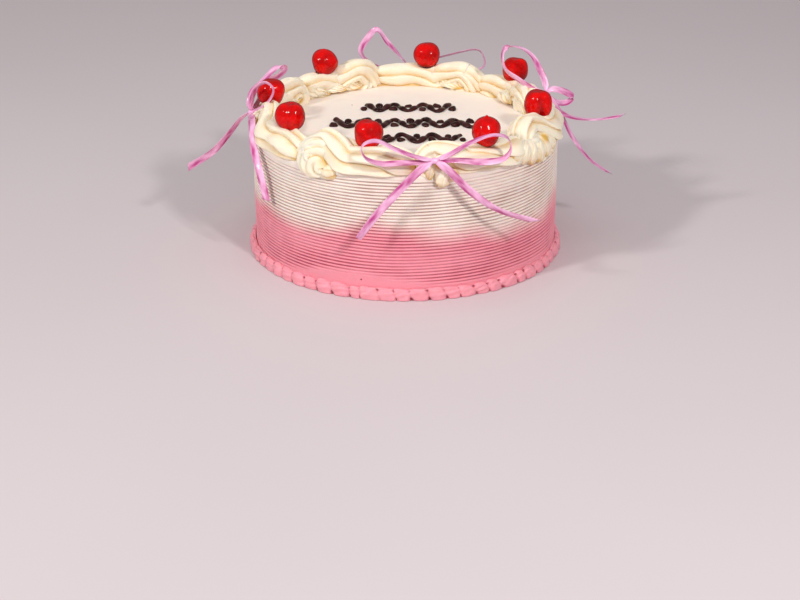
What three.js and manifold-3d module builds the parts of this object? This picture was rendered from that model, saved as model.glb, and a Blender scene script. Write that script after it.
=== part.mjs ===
// A vintage style layer cake, uncut: one round cake with a combed side and a smooth top, a beaded
// foot, a border of eight piped scrolls, a cherry on each scroll, four tied ribbon bows and three
// rows of piped chocolate ornament. Millimetres, +Z up. The origin is the centre of the cake's
// underside and the front faces -Y.
import * as THREE from "three";
import { mergeVertices } from "three/addons/utils/BufferGeometryUtils.js";
import Module from "manifold-3d";

// The cake
const CAKE_RADIUS = 106.9; // to the crests of the combed ridges
const CAKE_HEIGHT = 88;
const CAKE_SIDES = 24;
const EDGE_ROUND = 3; // rounding between the side and the top
const COMB_FIRST = 5; // height of the lowest groove
const COMB_LAST = 84; // height of the highest groove
const COMB_GROOVES = 36;
const COMB_DEPTH = 0.8;
const GAP = 0.35; // clearance between neighbouring pieces
const TOLERANCE = 0.12; // how far a joined surface may move as its slivers are merged

// The beaded foot
const BEAD_COUNT = 62;
const BEAD_HEIGHT = 8;
const BEAD_OUT = 4.4; // how far a bead stands out from the side
const BEAD_VALLEY = 0.62; // the foot between two beads, as a share of a bead
const BEAD_BELLY = 0.6; // height of its belly, as a share of the whole
const BEAD_CHAMFER = 0.5; // how far the belly lies inside the widest point, at the floor

// The scrolls: a rope from a star nozzle starts as a ridged blob that hangs over the edge, curls
// round, clockwise seen from above, and then sweeps off to the right along the edge as a broad
// tail, whose end the next curl covers
const SCROLL_RING = 94; // radius on which the curls are centred
const ROPE_HALF_WIDTH = 7.6;
const ROPE_HALF_HEIGHT = 9.4;
const ROPE_SINK = 0.75; // height of the rope's middle above the top, in half heights
const ROPE_POINTS = 12; // corners of its star section
const ROPE_GROOVE = 0.24; // depth of the star's grooves, as a share of the rope
const CURL_INNER = 8.5; // radius of the curl where it starts, on the outer side
const CURL_OUTER = 9.5; // and where it ends, on the inner side
const CURL_START = THREE.MathUtils.degToRad(75); // 90 degrees is the outer side
const CURL_END = THREE.MathUtils.degToRad(270);
const CURL_STEPS = 6;
const CURL_TIP = 0.4; // the rope's size where it starts
const CURL_SWELL_END = 0.4; // share of the curl by which it has swelled to its full size
const TAIL_STEPS = 6;
const TAIL_SHORT = 12; // the tail stops this far before the middle of the next curl
const TAIL_OUT = 4; // how far out the tail runs, past the ring
const TAIL_SWELL = 1.6; // the tail's widest section, in rope widths
const TAIL_RISE = 0.92; // and its height there
const TAIL_SWELL_END = 0.45; // share of the tail by which it has swelled
const TAIL_OUT_END = 0.7; // and by which it has reached the edge
const TAIL_FADE_START = 0.6; // and from which it narrows
const TAIL_TIP = 0.5; // to this share of its size
const TILT = 0.2; // the border leans outwards
const SAG_FROM = 97; // past this radius it also sags over the edge
const SAG_SPAN = 10;
const SAG = 3; // the sag at the end of that span
const BLOB_HALF_WIDTH = 11; // the ridged blob at the start of a curl, along the edge
const BLOB_HALF_DEPTH = 8.5; // and across it
const BLOB_OUT = 5; // how far outside the curl's middle it lies
const BLOB_HEIGHT = 13;
const BLOB_FOOT = 0.8; // its width at the bottom, as a share of the whole
const BLOB_SHOULDER = [0.9, 0.65]; // width and height of its shoulder, as shares
const BLOB_TOP = 0.5; // its width at the top
const BLOB_SLOPE = 0.35; // how far out its hanging foot leans for each step down

// Each scroll: name, angle of its curl, shift out, size, height and blob as shares of the usual
// ones, and how far the blob hangs below the top of the cake
const SCROLLS = [
  { name: "front_left", angle: 237, shift: 1, size: 1.0, high: 1.0, blob: 1.0, hang: 4 },
  { name: "front", angle: 282, shift: 1, size: 0.97, high: 0.95, blob: 0.95, hang: 8 },
  { name: "front_right", angle: 331, shift: 1.5, size: 1.05, high: 1.0, blob: 1.15, hang: 5 },
  { name: "right", angle: 20, shift: 0, size: 0.95, high: 1.0, blob: 1.0, hang: 4 },
  { name: "back_right", angle: 63, shift: 0, size: 0.98, high: 1.05, blob: 1.0, hang: 5 },
  { name: "back", angle: 114, shift: 0, size: 1.1, high: 1.15, blob: 1.05, hang: 4 },
  { name: "back_left", angle: 153, shift: 0, size: 0.97, high: 1.0, blob: 1.0, hang: 6 },
  { name: "left", angle: 189, shift: 1, size: 0.97, high: 1.0, blob: 0.95, hang: 4 },
];

// Each cherry: name, angle, distance from the axis, height of its middle, size, depth of its
// cleft, and the cleft's direction
const CHERRY_RADIUS = 9.6;
const CHERRY_MERIDIANS = 10;
const CHERRY_PARALLELS = 6;
const CHERRY_DIMPLE = 0.12; // depth of the dimple on top, as a share of the radius
const CHERRY_POINT = 0.06; // and length of the blunt point below
const CHERRIES = [
  ["front_left", 254.5, 90, 109, 1.0, 0.05, 40],
  ["front_right", 303.5, 97, 109, 1.0, 0.05, 100],
  ["right", 346.5, 94, 109, 1.05, 0.22, 285],
  ["back_right", 37, 100, 109, 0.96, 0.05, 10],
  ["back", 80.5, 95.5, 109, 0.98, 0.2, 80],
  ["back_left", 128.5, 96, 109, 1.0, 0.05, 200],
  ["left", 177, 94, 109, 0.98, 0.05, 150],
  ["left_front", 212.5, 91.5, 109, 1.02, 0.2, 250],
];

// The bows, in each bow's own frame, from its knot: along the cake's edge, counterclockwise seen
// from above, then outwards, then up. A loop has two handles, and a tail has three points.
const RIBBON_WIDTH = 6;
const RIBBON_THICKNESS = 0.5;
const LOOP_STEPS = 11;
const END_STEPS = 6; // steps along a loose end
const KNOT_RADIUS = 2.8;
const PINCH = 0.45; // the ribbon's width in the knot, as a share of the whole
const PINCH_LENGTH = 7; // and how soon it opens out again
const BOWS = [
  {
    name: "front",
    angle: 280.2,
    radius: 110.5,
    height: 97.2,
    loops: [
      { handles: [[-58, 5, 45], [-67, 6, -20]], width: [0, 1, -0.3] },
      { handles: [[62, 5, 48], [71, 6, -22]], width: [0, 1, -0.3] },
    ],
    tails: [
      { through: [[-14, 3, -13], [-36, 2, -35], [-51, 2, -52]], width: [1, 0.2, 0] },
      { through: [[17, 5, -14], [44, 7, -33], [66, 10, -41]], width: [1, 0.2, 0.6] },
    ],
  },
  {
    name: "left",
    angle: 177.3,
    radius: 110,
    height: 93.5,
    loops: [
      { handles: [[-7, 11, 19], [-62, -57, 46]], width: [0, 1, 0.3] },
      { handles: [[8, 2, 40], [37, -46, 32]], width: [0.9, 0.5, 0.3] },
    ],
    tails: [
      { through: [[0, 11, -14], [0, 26, -29], [0, 47, -41]], width: [0.3, 0.5, 1] },
      { through: [[33, -5, -10], [48, -10, -25], [61, -18, -46]], width: [0.6, -1, 0.4] },
    ],
  },
  {
    name: "right",
    angle: 13.7,
    radius: 105.3,
    height: 104,
    loops: [
      { handles: [[62, -2, 49], [40, -56, 4]], width: [0.3, 1, 0.4] },
      { handles: [[2, 16, 12], [2, 32, -25]], width: [1, 0.2, 0.9] },
    ],
    tails: [
      { through: [[-12, 6, -14], [-21, 30, -17], [-27, 47, -14]], width: [1, 0, 0.3] },
      { through: [[-15, 6, -17], [-18, 19, -41], [-23, 38, -57]], width: [1, 0.3, 0.3] },
    ],
  },
  {
    name: "back",
    angle: 87.9,
    radius: 109,
    height: 95,
    loops: [
      { handles: [[24, 4, 66], [80, 4, -8]], width: [0.2, 1, 0.3] },
      { handles: [[-40, 4, 37], [-107, 4, -12]], width: [0, 1, 0.1] },
    ],
    tails: [
      { through: [[14, 4, -13], [34, 4, -34], [46, 4, -54]], width: [1, 0.2, 0] },
      { through: [[-17, 5, -14], [-44, 7, -32], [-66, 10, -42]], width: [1, 0.2, 0.6] },
    ],
  },
];

// The chocolate: in each row a rope swings from side to side, with a dot in each of its bends
const CHOCOLATE_HALF_WIDTH = 1.9;
const CHOCOLATE_TOP = 0.5; // width of its flat top, as a share of the whole
const CHOCOLATE_HEIGHT = 2.4;
const CHOCOLATE_SUNK = 0.5; // how far it is sunk into the top
const SWING_STEPS = 4; // steps of the rope from one side of its wave to the other
const WAVES = [
  { middle: [2, 33], swings: 6, swing: 10.5, sway: 7.5 },
  { middle: [3, -3], swings: 10, swing: 10.7, sway: 8 },
  { middle: [8, -35], swings: 6, swing: 10.5, sway: 7 },
];
const DOT_SWAY = -0.45; // side of a dot, as a share of the bend's own
const DOT_RADIUS = 2.5;
const DOT_SIDES = 5;

const wasm = await Module();
wasm.setup();

const radians = THREE.MathUtils.degToRad;
const smooth = (x) => THREE.MathUtils.smoothstep(x, 0, 1);

// A point given along the edge, outwards and up, at an angle round the cake and a radius
function onRing(angle, radius, along, out, up) {
  const outwards = new THREE.Vector3(Math.cos(angle), Math.sin(angle), 0);
  const sideways = new THREE.Vector3(-Math.sin(angle), Math.cos(angle), 0);
  return outwards.multiplyScalar(radius + out).addScaledVector(sideways, along).setZ(up);
}

// A closed body from rings of points, each ring counterclockwise seen from the end of the path
function loft(rings) {
  const count = rings[0].length;
  const positions = rings.flat().flatMap((point) => point.toArray());
  const middle = (ring) => ring.reduce((sum, p) => sum.add(p), new THREE.Vector3()).divideScalar(count);
  positions.push(...middle(rings[0]).toArray(), ...middle(rings.at(-1)).toArray());
  const first = rings.length * count;
  const last = first + 1;
  const end = first - count;
  const index = [];
  for (let i = 0; i < count; i += 1) {
    const j = (i + 1) % count;
    for (let k = 0; k < rings.length - 1; k += 1) {
      const a = k * count;
      const b = a + count;
      index.push(a + i, a + j, b + j, a + i, b + j, b + i);
    }
    index.push(first, j, i, last, end + i, end + j);
  }
  const geometry = new THREE.BufferGeometry();
  geometry.setAttribute("position", new THREE.Float32BufferAttribute(positions, 3));
  geometry.setIndex(index);
  return geometry;
}

function toSolid(geometry) {
  const plain = geometry.clone();
  plain.deleteAttribute("normal");
  plain.deleteAttribute("uv");
  const merged = mergeVertices(plain, 1e-4);
  return new wasm.Manifold(
    new wasm.Mesh({
      numProp: 3,
      vertProperties: new Float32Array(merged.attributes.position.array),
      triVerts: new Uint32Array(merged.index.array),
    }),
  );
}

function toGeometry(solid) {
  const mesh = solid.getMesh();
  const geometry = new THREE.BufferGeometry();
  geometry.setAttribute("position", new THREE.BufferAttribute(mesh.vertProperties, 3));
  geometry.setIndex(new THREE.BufferAttribute(mesh.triVerts, 1));
  return geometry;
}

const union = (solids) => solids.reduce((sum, solid) => sum.add(solid));

// A LatheGeometry turns its profile about Y, so it is stood up on Z
function turned(profile, sides) {
  return new THREE.LatheGeometry(profile, sides).rotateX(Math.PI / 2);
}

// The combed side is a zigzag of crests and grooves, and the edge of the top is rounded
function cakeBody() {
  const pitch = (COMB_LAST - COMB_FIRST) / (COMB_GROOVES - 1);
  const profile = [new THREE.Vector2(0, 0), new THREE.Vector2(CAKE_RADIUS, 0)];
  for (let i = 0; i < COMB_GROOVES; i += 1) {
    const groove = COMB_FIRST + i * pitch;
    profile.push(new THREE.Vector2(CAKE_RADIUS, groove - pitch / 2));
    profile.push(new THREE.Vector2(CAKE_RADIUS - COMB_DEPTH, groove));
  }
  profile.push(new THREE.Vector2(CAKE_RADIUS, COMB_LAST + pitch / 2));
  const corner = EDGE_ROUND * (1 - Math.SQRT1_2);
  profile.push(new THREE.Vector2(CAKE_RADIUS - corner, CAKE_HEIGHT - corner));
  profile.push(new THREE.Vector2(CAKE_RADIUS - EDGE_ROUND, CAKE_HEIGHT));
  profile.push(new THREE.Vector2(0, CAKE_HEIGHT));
  return toSolid(turned(profile, CAKE_SIDES));
}

// A rope of chocolate on the top, with a low section whose foot is sunk into the cream
function chocolateWave({ middle, swings, swing, sway }) {
  const start = middle[0] - (swings * swing) / 2;
  const place = (turns, share) =>
    new THREE.Vector2(start + turns * swing, middle[1] + share * sway * Math.cos(turns * Math.PI));
  const steps = swings * SWING_STEPS;
  const path = Array.from({ length: steps + 1 }, (_, k) => place(k / SWING_STEPS, 1));
  const section = [[-1, 0], [1, 0], [CHOCOLATE_TOP, 1], [-CHOCOLATE_TOP, 1]];
  const rings = path.map((point, k) => {
    const before = path[Math.max(k - 1, 0)];
    const after = path[Math.min(k + 1, steps)];
    const ahead = new THREE.Vector2().subVectors(after, before).normalize();
    return section.map(([side, up]) => {
      const across = -side * CHOCOLATE_HALF_WIDTH;
      const height = CAKE_HEIGHT - CHOCOLATE_SUNK + up * (CHOCOLATE_HEIGHT + CHOCOLATE_SUNK);
      return new THREE.Vector3(point.x - ahead.y * across, point.y + ahead.x * across, height);
    });
  });
  const dots = Array.from({ length: swings + 1 }, (_, k) => {
    const spot = place(k, DOT_SWAY);
    const ball = new THREE.SphereGeometry(DOT_RADIUS, DOT_SIDES, 4).rotateX(Math.PI / 2);
    return toSolid(ball.translate(spot.x, spot.y, CAKE_HEIGHT - CHOCOLATE_SUNK));
  });
  return union([toSolid(loft(rings)), ...dots]);
}

// The beaded foot is one ring whose section swells to a bead and shrinks between two beads
function beadedFoot() {
  const inner = CAKE_RADIUS + GAP;
  const columns = 2 * BEAD_COUNT;
  const rings = Array.from({ length: columns }, (_, k) => {
    const angle = (k / columns) * 2 * Math.PI;
    const share = k % 2 === 0 ? 1 : BEAD_VALLEY;
    const out = inner + BEAD_OUT * share;
    const top = BEAD_HEIGHT * share;
    const section = [[inner, 0], [out, 0], [out - BEAD_CHAMFER, BEAD_BELLY * top], [inner, top]];
    return section.map(([r, z]) => new THREE.Vector3(r * Math.cos(angle), r * Math.sin(angle), z));
  });
  const count = rings[0].length;
  const index = [];
  for (let k = 0; k < columns; k += 1) {
    const a = k * count;
    const b = ((k + 1) % columns) * count;
    for (let i = 0; i < count; i += 1) {
      const j = (i + 1) % count;
      index.push(a + i, b + j, a + j, a + i, b + i, b + j);
    }
  }
  const geometry = new THREE.BufferGeometry();
  const positions = rings.flat().flatMap((point) => point.toArray());
  geometry.setAttribute("position", new THREE.Float32BufferAttribute(positions, 3));
  geometry.setIndex(index);
  return geometry;
}

// The rope's middle line, as (along, out) from the curl's middle, and its width and height at
// each step: it swells from its start, and the tail widens, runs out to the edge and narrows
function scrollLine(size, length) {
  const curl = Array.from({ length: CURL_STEPS }, (_, k) => {
    const share = k / CURL_STEPS;
    const angle = THREE.MathUtils.lerp(CURL_START, CURL_END, share);
    const radius = size * THREE.MathUtils.lerp(CURL_INNER, CURL_OUTER, share);
    const swell = THREE.MathUtils.lerp(CURL_TIP, 1, smooth(share / CURL_SWELL_END));
    return { along: radius * Math.cos(angle), out: radius * Math.sin(angle), wide: swell, high: swell };
  });
  const tail = Array.from({ length: TAIL_STEPS + 1 }, (_, k) => {
    const share = k / TAIL_STEPS;
    const swell = THREE.MathUtils.lerp(1, TAIL_SWELL, smooth(share / TAIL_SWELL_END));
    const rise = THREE.MathUtils.lerp(1, TAIL_RISE, smooth(share / TAIL_SWELL_END));
    const narrowing = smooth((share - TAIL_FADE_START) / (1 - TAIL_FADE_START));
    const fade = THREE.MathUtils.lerp(1, TAIL_TIP, narrowing);
    const out = THREE.MathUtils.lerp(-CURL_OUTER * size, TAIL_OUT, smooth(share / TAIL_OUT_END));
    return { along: share * length, out, wide: swell * fade, high: rise * fade };
  });
  return [...curl, ...tail];
}

// The corners of a star: across and up on the unit circle, and how deep each corner lies
function starPoints(phase) {
  return Array.from({ length: ROPE_POINTS }, (_, i) => {
    const angle = (i / ROPE_POINTS) * 2 * Math.PI + phase;
    return { across: Math.cos(angle), up: Math.sin(angle), depth: i % 2 === 0 ? 1 : 1 - ROPE_GROOVE };
  });
}

// A star-shaped rope laid level along a line, to be draped afterwards
function rope(line, { angle, shift, size, high }, grow) {
  const spots = line.map((step) => {
    const height = CAKE_HEIGHT + ROPE_SINK * ROPE_HALF_HEIGHT * high * step.high;
    const turn = radians(angle) + step.along / SCROLL_RING;
    return onRing(turn, SCROLL_RING + shift + step.out, 0, 0, height);
  });
  return spots.map((spot, k) => {
    const before = spots[Math.max(k - 1, 0)];
    const after = spots[Math.min(k + 1, spots.length - 1)];
    const ahead = new THREE.Vector3().subVectors(after, before).setZ(0).normalize();
    const side = new THREE.Vector3(0, 0, 1).cross(ahead);
    const halfWidth = ROPE_HALF_WIDTH * size * line[k].wide;
    const halfHeight = ROPE_HALF_HEIGHT * high * line[k].high;
    return starPoints(0).map(({ across, up, depth }) =>
      spot
        .clone()
        .addScaledVector(side, across * (halfWidth * depth + grow))
        .setZ(spot.z + up * (halfHeight * depth + grow)),
    );
  });
}

// The blob that starts a curl is a star with upright ridges, hung over the edge
function blob({ angle, shift, high, blob: share, hang }, grow) {
  const turn = radians(angle);
  const levels = [
    [BLOB_FOOT, -hang - grow],
    [1, 0],
    [BLOB_SHOULDER[0], BLOB_SHOULDER[1] * BLOB_HEIGHT * high],
    [BLOB_TOP, BLOB_HEIGHT * high + grow],
  ];
  return levels.map(([width, up]) =>
    starPoints(Math.PI / ROPE_POINTS).map(({ across, up: out, depth }) => {
      const halfWidth = BLOB_HALF_WIDTH * share * width * depth + grow;
      const halfDepth = BLOB_HALF_DEPTH * share * width * depth + grow;
      const distance = SCROLL_RING + shift + BLOB_OUT - Math.min(up, 0) * BLOB_SLOPE;
      return onRing(turn, distance, -across * halfWidth, out * halfDepth, CAKE_HEIGHT + up);
    }),
  );
}

// The border leans outwards and sags where it passes the edge of the cake
function draped(rings) {
  const lower = (point) => {
    const radius = Math.hypot(point.x, point.y);
    const past = Math.max(0, (radius - SAG_FROM) / SAG_SPAN);
    return point.clone().setZ(point.z - TILT * (radius - SCROLL_RING) - SAG * past ** 2);
  };
  return rings.map((ring) => ring.map(lower));
}

// One whole scroll, grown all round by a clearance when it serves to cut its neighbour
function scroll(i, grow) {
  const item = SCROLLS[i];
  const next = SCROLLS[(i + 1) % SCROLLS.length];
  const span = radians(THREE.MathUtils.euclideanModulo(next.angle - item.angle, 360));
  const line = scrollLine(item.size, span * SCROLL_RING - TAIL_SHORT);
  return union([toSolid(loft(draped(rope(line, item, grow)))), toSolid(loft(blob(item, grow)))]);
}

// A cherry is a ball with a dimple on top, a blunt point below and a cleft on one side
function cherry([, degrees, distance, height, size, cleft, cleftAt], grow) {
  const ball = new THREE.SphereGeometry(1, CHERRY_MERIDIANS, CHERRY_PARALLELS).rotateX(Math.PI / 2);
  const spots = ball.attributes.position;
  const spot = new THREE.Vector3();
  for (let i = 0; i < spots.count; i += 1) {
    spot.fromBufferAttribute(spots, i);
    const bearing = Math.atan2(spot.y, spot.x) - radians(cleftAt);
    const nearCleft = Math.max(0, Math.cos(bearing)) ** 8 * (1 - spot.z ** 2);
    const dimple = CHERRY_DIMPLE * Math.max(0, spot.z) ** 12;
    const point = CHERRY_POINT * Math.max(0, -spot.z) ** 3;
    spot.multiplyScalar(CHERRY_RADIUS * size * (1 - dimple + point - cleft * nearCleft) + grow);
    spots.setXYZ(i, spot.x, spot.y, spot.z);
  }
  const place = onRing(radians(degrees), distance, 0, 0, height);
  return toSolid(ball.translate(place.x, place.y, place.z));
}

// A ribbon is a thin strip along a curve, pinched in the knot, its width near one direction
function ribbon(curve, steps, width, knot, grow) {
  const rings = Array.from({ length: steps + 1 }, (_, k) => {
    const spot = curve.getPoint(k / steps);
    const ahead = curve.getTangent(k / steps);
    const across = width.clone().addScaledVector(ahead, -width.dot(ahead)).normalize();
    const face = new THREE.Vector3().crossVectors(ahead, across);
    const open = THREE.MathUtils.lerp(PINCH, 1, smooth(spot.distanceTo(knot) / PINCH_LENGTH));
    const corners = [[1, 1], [-1, 1], [-1, -1], [1, -1]];
    return corners.map(([a, b]) =>
      spot
        .clone()
        .addScaledVector(across, a * ((RIBBON_WIDTH / 2) * open + grow))
        .addScaledVector(face, b * (RIBBON_THICKNESS / 2 + grow)),
    );
  });
  return toSolid(loft(rings));
}

function bow({ angle, radius, height, loops, tails }, grow) {
  const turn = radians(angle);
  const place = ([along, out, up]) => onRing(turn, radius, along, out, height + up);
  const knot = place([0, 0, 0]);
  const direction = (v) => place(v).sub(knot);
  const strips = [
    ...loops.map(({ handles, width }) => {
      const curve = new THREE.CubicBezierCurve3(knot, ...handles.map(place), knot);
      return ribbon(curve, LOOP_STEPS, direction(width), knot, grow);
    }),
    ...tails.map(({ through, width }) => {
      const curve = new THREE.CatmullRomCurve3([knot, ...through.map(place)], false, "catmullrom");
      return ribbon(curve, END_STEPS, direction(width), knot, grow);
    }),
  ];
  const ball = new THREE.SphereGeometry(KNOT_RADIUS + grow, 6, 5).translate(...knot.toArray());
  return union([toSolid(ball), ...strips]).simplify(TOLERANCE);
}

// The cream keeps clear of the cake, of the cherries and ribbons pressed into it, and of the curl
// that covers its tail
function cutScroll(i) {
  const envelope = turned(
    [
      new THREE.Vector2(0, -GAP),
      new THREE.Vector2(CAKE_RADIUS + GAP, -GAP),
      new THREE.Vector2(CAKE_RADIUS + GAP, CAKE_HEIGHT + GAP),
      new THREE.Vector2(0, CAKE_HEIGHT + GAP),
    ],
    CAKE_SIDES,
  );
  const next = (i + 1) % SCROLLS.length;
  let cream = scroll(i, 0).subtract(toSolid(envelope)).subtract(scroll(next, GAP));
  for (const item of CHERRIES) {
    cream = cream.subtract(cherry(item, GAP));
  }
  for (const item of BOWS) {
    cream = cream.subtract(bow(item, GAP));
  }
  return cream.simplify(TOLERANCE);
}

const finish = (color, roughness) => new THREE.MeshStandardMaterial({ color, roughness, metalness: 0 });
const cream = finish(0xf4e6cf, 0.6);
const pinkCream = finish(0xe27a92, 0.6);
const cherryRed = finish(0xb3070c, 0.15);
const satin = finish(0xe58ac6, 0.3);

const cake = new THREE.Group();
const add = (name, geometry, material) => {
  const mesh = new THREE.Mesh(geometry, material);
  mesh.name = name;
  cake.add(mesh);
};

const body = union([cakeBody(), ...WAVES.map(chocolateWave)]).simplify(TOLERANCE);
add("cake_body", toGeometry(body), cream);
add("beaded_foot", beadedFoot(), pinkCream);
SCROLLS.forEach((item, i) => add(`scroll_${item.name}`, toGeometry(cutScroll(i)), cream));
CHERRIES.forEach((item) => add(`cherry_${item[0]}`, toGeometry(cherry(item, 0)), cherryRed));
BOWS.forEach((item) => add(`bow_${item.name}`, toGeometry(bow(item, 0)), satin));

export default cake;
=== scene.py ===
# %% [markdown]
# # A vintage style cake
# One uncut round cake: combed buttercream that fades from pink up to ivory, a beaded foot, eight
# piped scrolls round the edge, a candied cherry on each, four satin bows and a chocolate ornament.
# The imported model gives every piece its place. Each cell below replaces one of its plain solids by
# a surface that is worked out as a function of two parameters on a grid.

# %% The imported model
import math
from collections import namedtuple

import bpy
import numpy as np
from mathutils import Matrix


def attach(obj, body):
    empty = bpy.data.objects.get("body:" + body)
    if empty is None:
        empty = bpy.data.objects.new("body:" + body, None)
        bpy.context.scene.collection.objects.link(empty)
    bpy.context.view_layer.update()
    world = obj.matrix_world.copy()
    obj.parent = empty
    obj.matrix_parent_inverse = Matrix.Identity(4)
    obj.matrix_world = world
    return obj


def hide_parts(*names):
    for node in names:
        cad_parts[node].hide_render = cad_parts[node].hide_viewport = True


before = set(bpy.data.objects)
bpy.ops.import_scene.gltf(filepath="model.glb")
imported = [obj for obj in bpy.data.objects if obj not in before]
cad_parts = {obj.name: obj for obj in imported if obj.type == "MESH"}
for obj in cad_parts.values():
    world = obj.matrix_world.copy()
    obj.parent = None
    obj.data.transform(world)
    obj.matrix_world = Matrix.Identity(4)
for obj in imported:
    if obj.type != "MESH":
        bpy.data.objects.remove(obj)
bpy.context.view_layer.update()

print("nodes:", len(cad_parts))

# %% [markdown]
# ## From grids of points to meshes
# Most of this cake is piped or wound: a closed outline that is carried along a path. Such a surface
# is a grid, with one row for each step of the path and one column for each point of the outline.
# Blender could sweep a curve with a bevel, but then every step has the same outline. A grid lets
# the outline swell, twist and fray on its way. Millimetres go in, and metres go into the mesh.

# %% Closed shells
MILLIMETRE = 0.001


def angles_round(count):
    """Even angles once round, without the last, which would be the first again."""
    return np.linspace(0, 2 * np.pi, count, endpoint=False)


def turned(radius, angle, level):
    """Places from a radius, an angle and a level: (r cos a, r sin a, level)."""
    return np.stack([radius * np.cos(angle), radius * np.sin(angle), level], -1)


def ring_quads(rows, columns, closed):
    """Quads between each row and the next. Each row closes on itself, and where closed is true the
    last row also meets the first."""
    row = np.arange(rows if closed else rows - 1)[:, None]
    column = np.arange(columns)[None, :]
    here = row * columns
    above = (row + 1) % rows * columns
    right = (column + 1) % columns
    return np.stack([here + column, here + right, above + right, above + column], -1).reshape(-1, 4)


def tube(grid, groove=None):
    """A closed body from rows of points that run counterclockwise seen from the path's end. Its two
    ends are closed by fans to the middle of the first and of the last row."""
    rows, columns = grid.shape[:2]
    points = np.concatenate([grid.reshape(-1, 3), grid[:1].mean(1), grid[-1:].mean(1)])
    i = np.arange(columns)
    j = (i + 1) % columns
    start = np.full(columns, rows * columns)
    last = (rows - 1) * columns
    fans = np.concatenate([np.stack([start, j, i], 1), np.stack([start + 1, last + i, last + j], 1)])
    depth = np.zeros((rows, columns)) if groove is None else groove
    ends = [depth[0].mean(), depth[-1].mean()]
    return {"points": points, "quads": ring_quads(rows, columns, False), "fans": fans,
            "groove": np.concatenate([depth.ravel(), ends])}


def hoop(grid, groove):
    """A closed ring: the last row meets the first again, so it needs no ends."""
    rows, columns = grid.shape[:2]
    return {"points": grid.reshape(-1, 3), "quads": ring_quads(rows, columns, True),
            "fans": np.zeros((0, 3), int), "groove": groove.ravel()}


print("quads of a tube with 3 rows of 4 points:", len(ring_quads(3, 4, False)))

# %% [markdown]
# ## From shells to a piece
# A piece may hold several closed shells, such as the loops and loose ends of one bow. They are
# joined into one mesh with foreach_set, which takes whole numpy arrays at once. A float attribute
# keeps how much painted shade each point takes, deep in a groove, in a hollow or where cream meets
# cream, because light that bounces about there makes cream look darker and yellower, and the
# materials read it. Each piece rides on the body, and the node of the imported model that it stands
# for is hidden.

# %% Pieces
def into_scene(name, data):
    """A new object of the data, at the origin."""
    made = bpy.data.objects.new(name, data)
    bpy.context.scene.collection.objects.link(made)
    return made


def make_piece(name, shells, material, node):
    """Joins shells into one smooth mesh. Shells of ribbon also bring a UV for each point."""
    starts = np.cumsum([0] + [len(shell["points"]) for shell in shells[:-1]])
    points = np.concatenate([shell["points"] for shell in shells]) * MILLIMETRE
    quads, fans = (np.concatenate([shell[kind] + start for shell, start in zip(shells, starts)])
                   for kind in ("quads", "fans"))
    corners = np.concatenate([quads.ravel(), fans.ravel()]).astype(np.int32)
    faces = np.concatenate([np.arange(len(quads)) * 4, quads.size + np.arange(len(fans)) * 3])
    mesh = bpy.data.meshes.new(name)
    mesh.vertices.add(len(points))
    mesh.vertices.foreach_set("co", points.astype(np.float32).ravel())
    mesh.loops.add(len(corners))
    mesh.loops.foreach_set("vertex_index", corners)
    mesh.polygons.add(len(faces))
    mesh.polygons.foreach_set("loop_start", faces.astype(np.int32))
    mesh.update(calc_edges=True)
    mesh.shade_smooth()
    # The groove attribute is painted shade: darker, yellower cream in grooves, hollows and tucked places.
    groove = np.concatenate([shell["groove"] for shell in shells]).astype(np.float32)
    mesh.attributes.new("groove", "FLOAT", "POINT").data.foreach_set("value", groove)
    if "band" in shells[0]:
        band = np.concatenate([shell["band"] for shell in shells]).astype(np.float32)
        mesh.uv_layers.new(name="ribbon").data.foreach_set("uv", band[corners].ravel())
    mesh.materials.append(material)
    piece = into_scene(name, mesh)
    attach(piece, "root")
    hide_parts(node)
    print(f"{name}: {2 * len(quads) + len(fans)} triangles")


# %% [markdown]
# ## Unevenness
# Nothing on a hand-made cake is exact, so every surface gets gentle waves. Noise textures can't be
# read from numpy, but a sum of a few cosines with drawn directions is just as uneven, and it closes
# round a ring when it has a whole number of waves there. Each call has a seed of its own, which
# makes its draws the same in every run.

# %% Waves and soft steps
def ripples(seed, along, around, along_waves, around_waves, count=9):
    """A sum of cosines of about unit size. along runs from 0 to 1 with up to along_waves waves, and
    around is an angle with a whole number of up to around_waves waves."""
    draw = np.random.default_rng(seed)
    total = 0
    for _ in range(count):
        slope = draw.uniform(-along_waves, along_waves)
        turns = draw.integers(-around_waves, around_waves + 1)
        total = total + np.cos(2 * np.pi * slope * along + turns * around + draw.uniform(0, 2 * np.pi))
    return total * math.sqrt(2 / count)


def smooth(x):
    """Rises from 0 to 1 with level ends: 3x^2 - 2x^3."""
    x = np.clip(x, 0, 1)
    return x * x * (3 - 2 * x)


def round_end(x):
    """Rises from 0 to 1 like a quarter circle: (1 - (1 - x)^2)^0.5."""
    return np.sqrt(1 - (1 - np.clip(x, 0, 1)) ** 2)


def mix(a, b, share):
    """Moves from a to b by a share."""
    return a + (b - a) * share


print("a soft step and a round end halfway along:", smooth(0.5), round_end(0.5).round(3))

# %% [markdown]
# ## Material nodes in a few words
# Each node is placed with its inputs beside it. An input takes a number, a colour or the output of
# another node. Colours are given as seen on a screen, from 0 to 255, and are turned into the linear
# values that Blender calculates with.

# %% Nodes
def fill(node, inputs):
    """Gives each named input its value, or a link where the value is another node's output."""
    for socket, value in inputs.items():
        if isinstance(value, bpy.types.NodeSocket):
            node.id_data.links.new(value, node.inputs[socket])
        else:
            node.inputs[socket].default_value = value


def place(tree, kind, inputs=None, **settings):
    """Adds one node, sets its settings, fills its inputs and gives its outputs."""
    made = tree.nodes.new(kind)
    for name, value in settings.items():
        setattr(made, name, value)
    fill(made, inputs or {})
    return made.outputs


def object_place(tree):
    """The place on the object, in metres."""
    return place(tree, "ShaderNodeTexCoord")["Object"]


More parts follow.
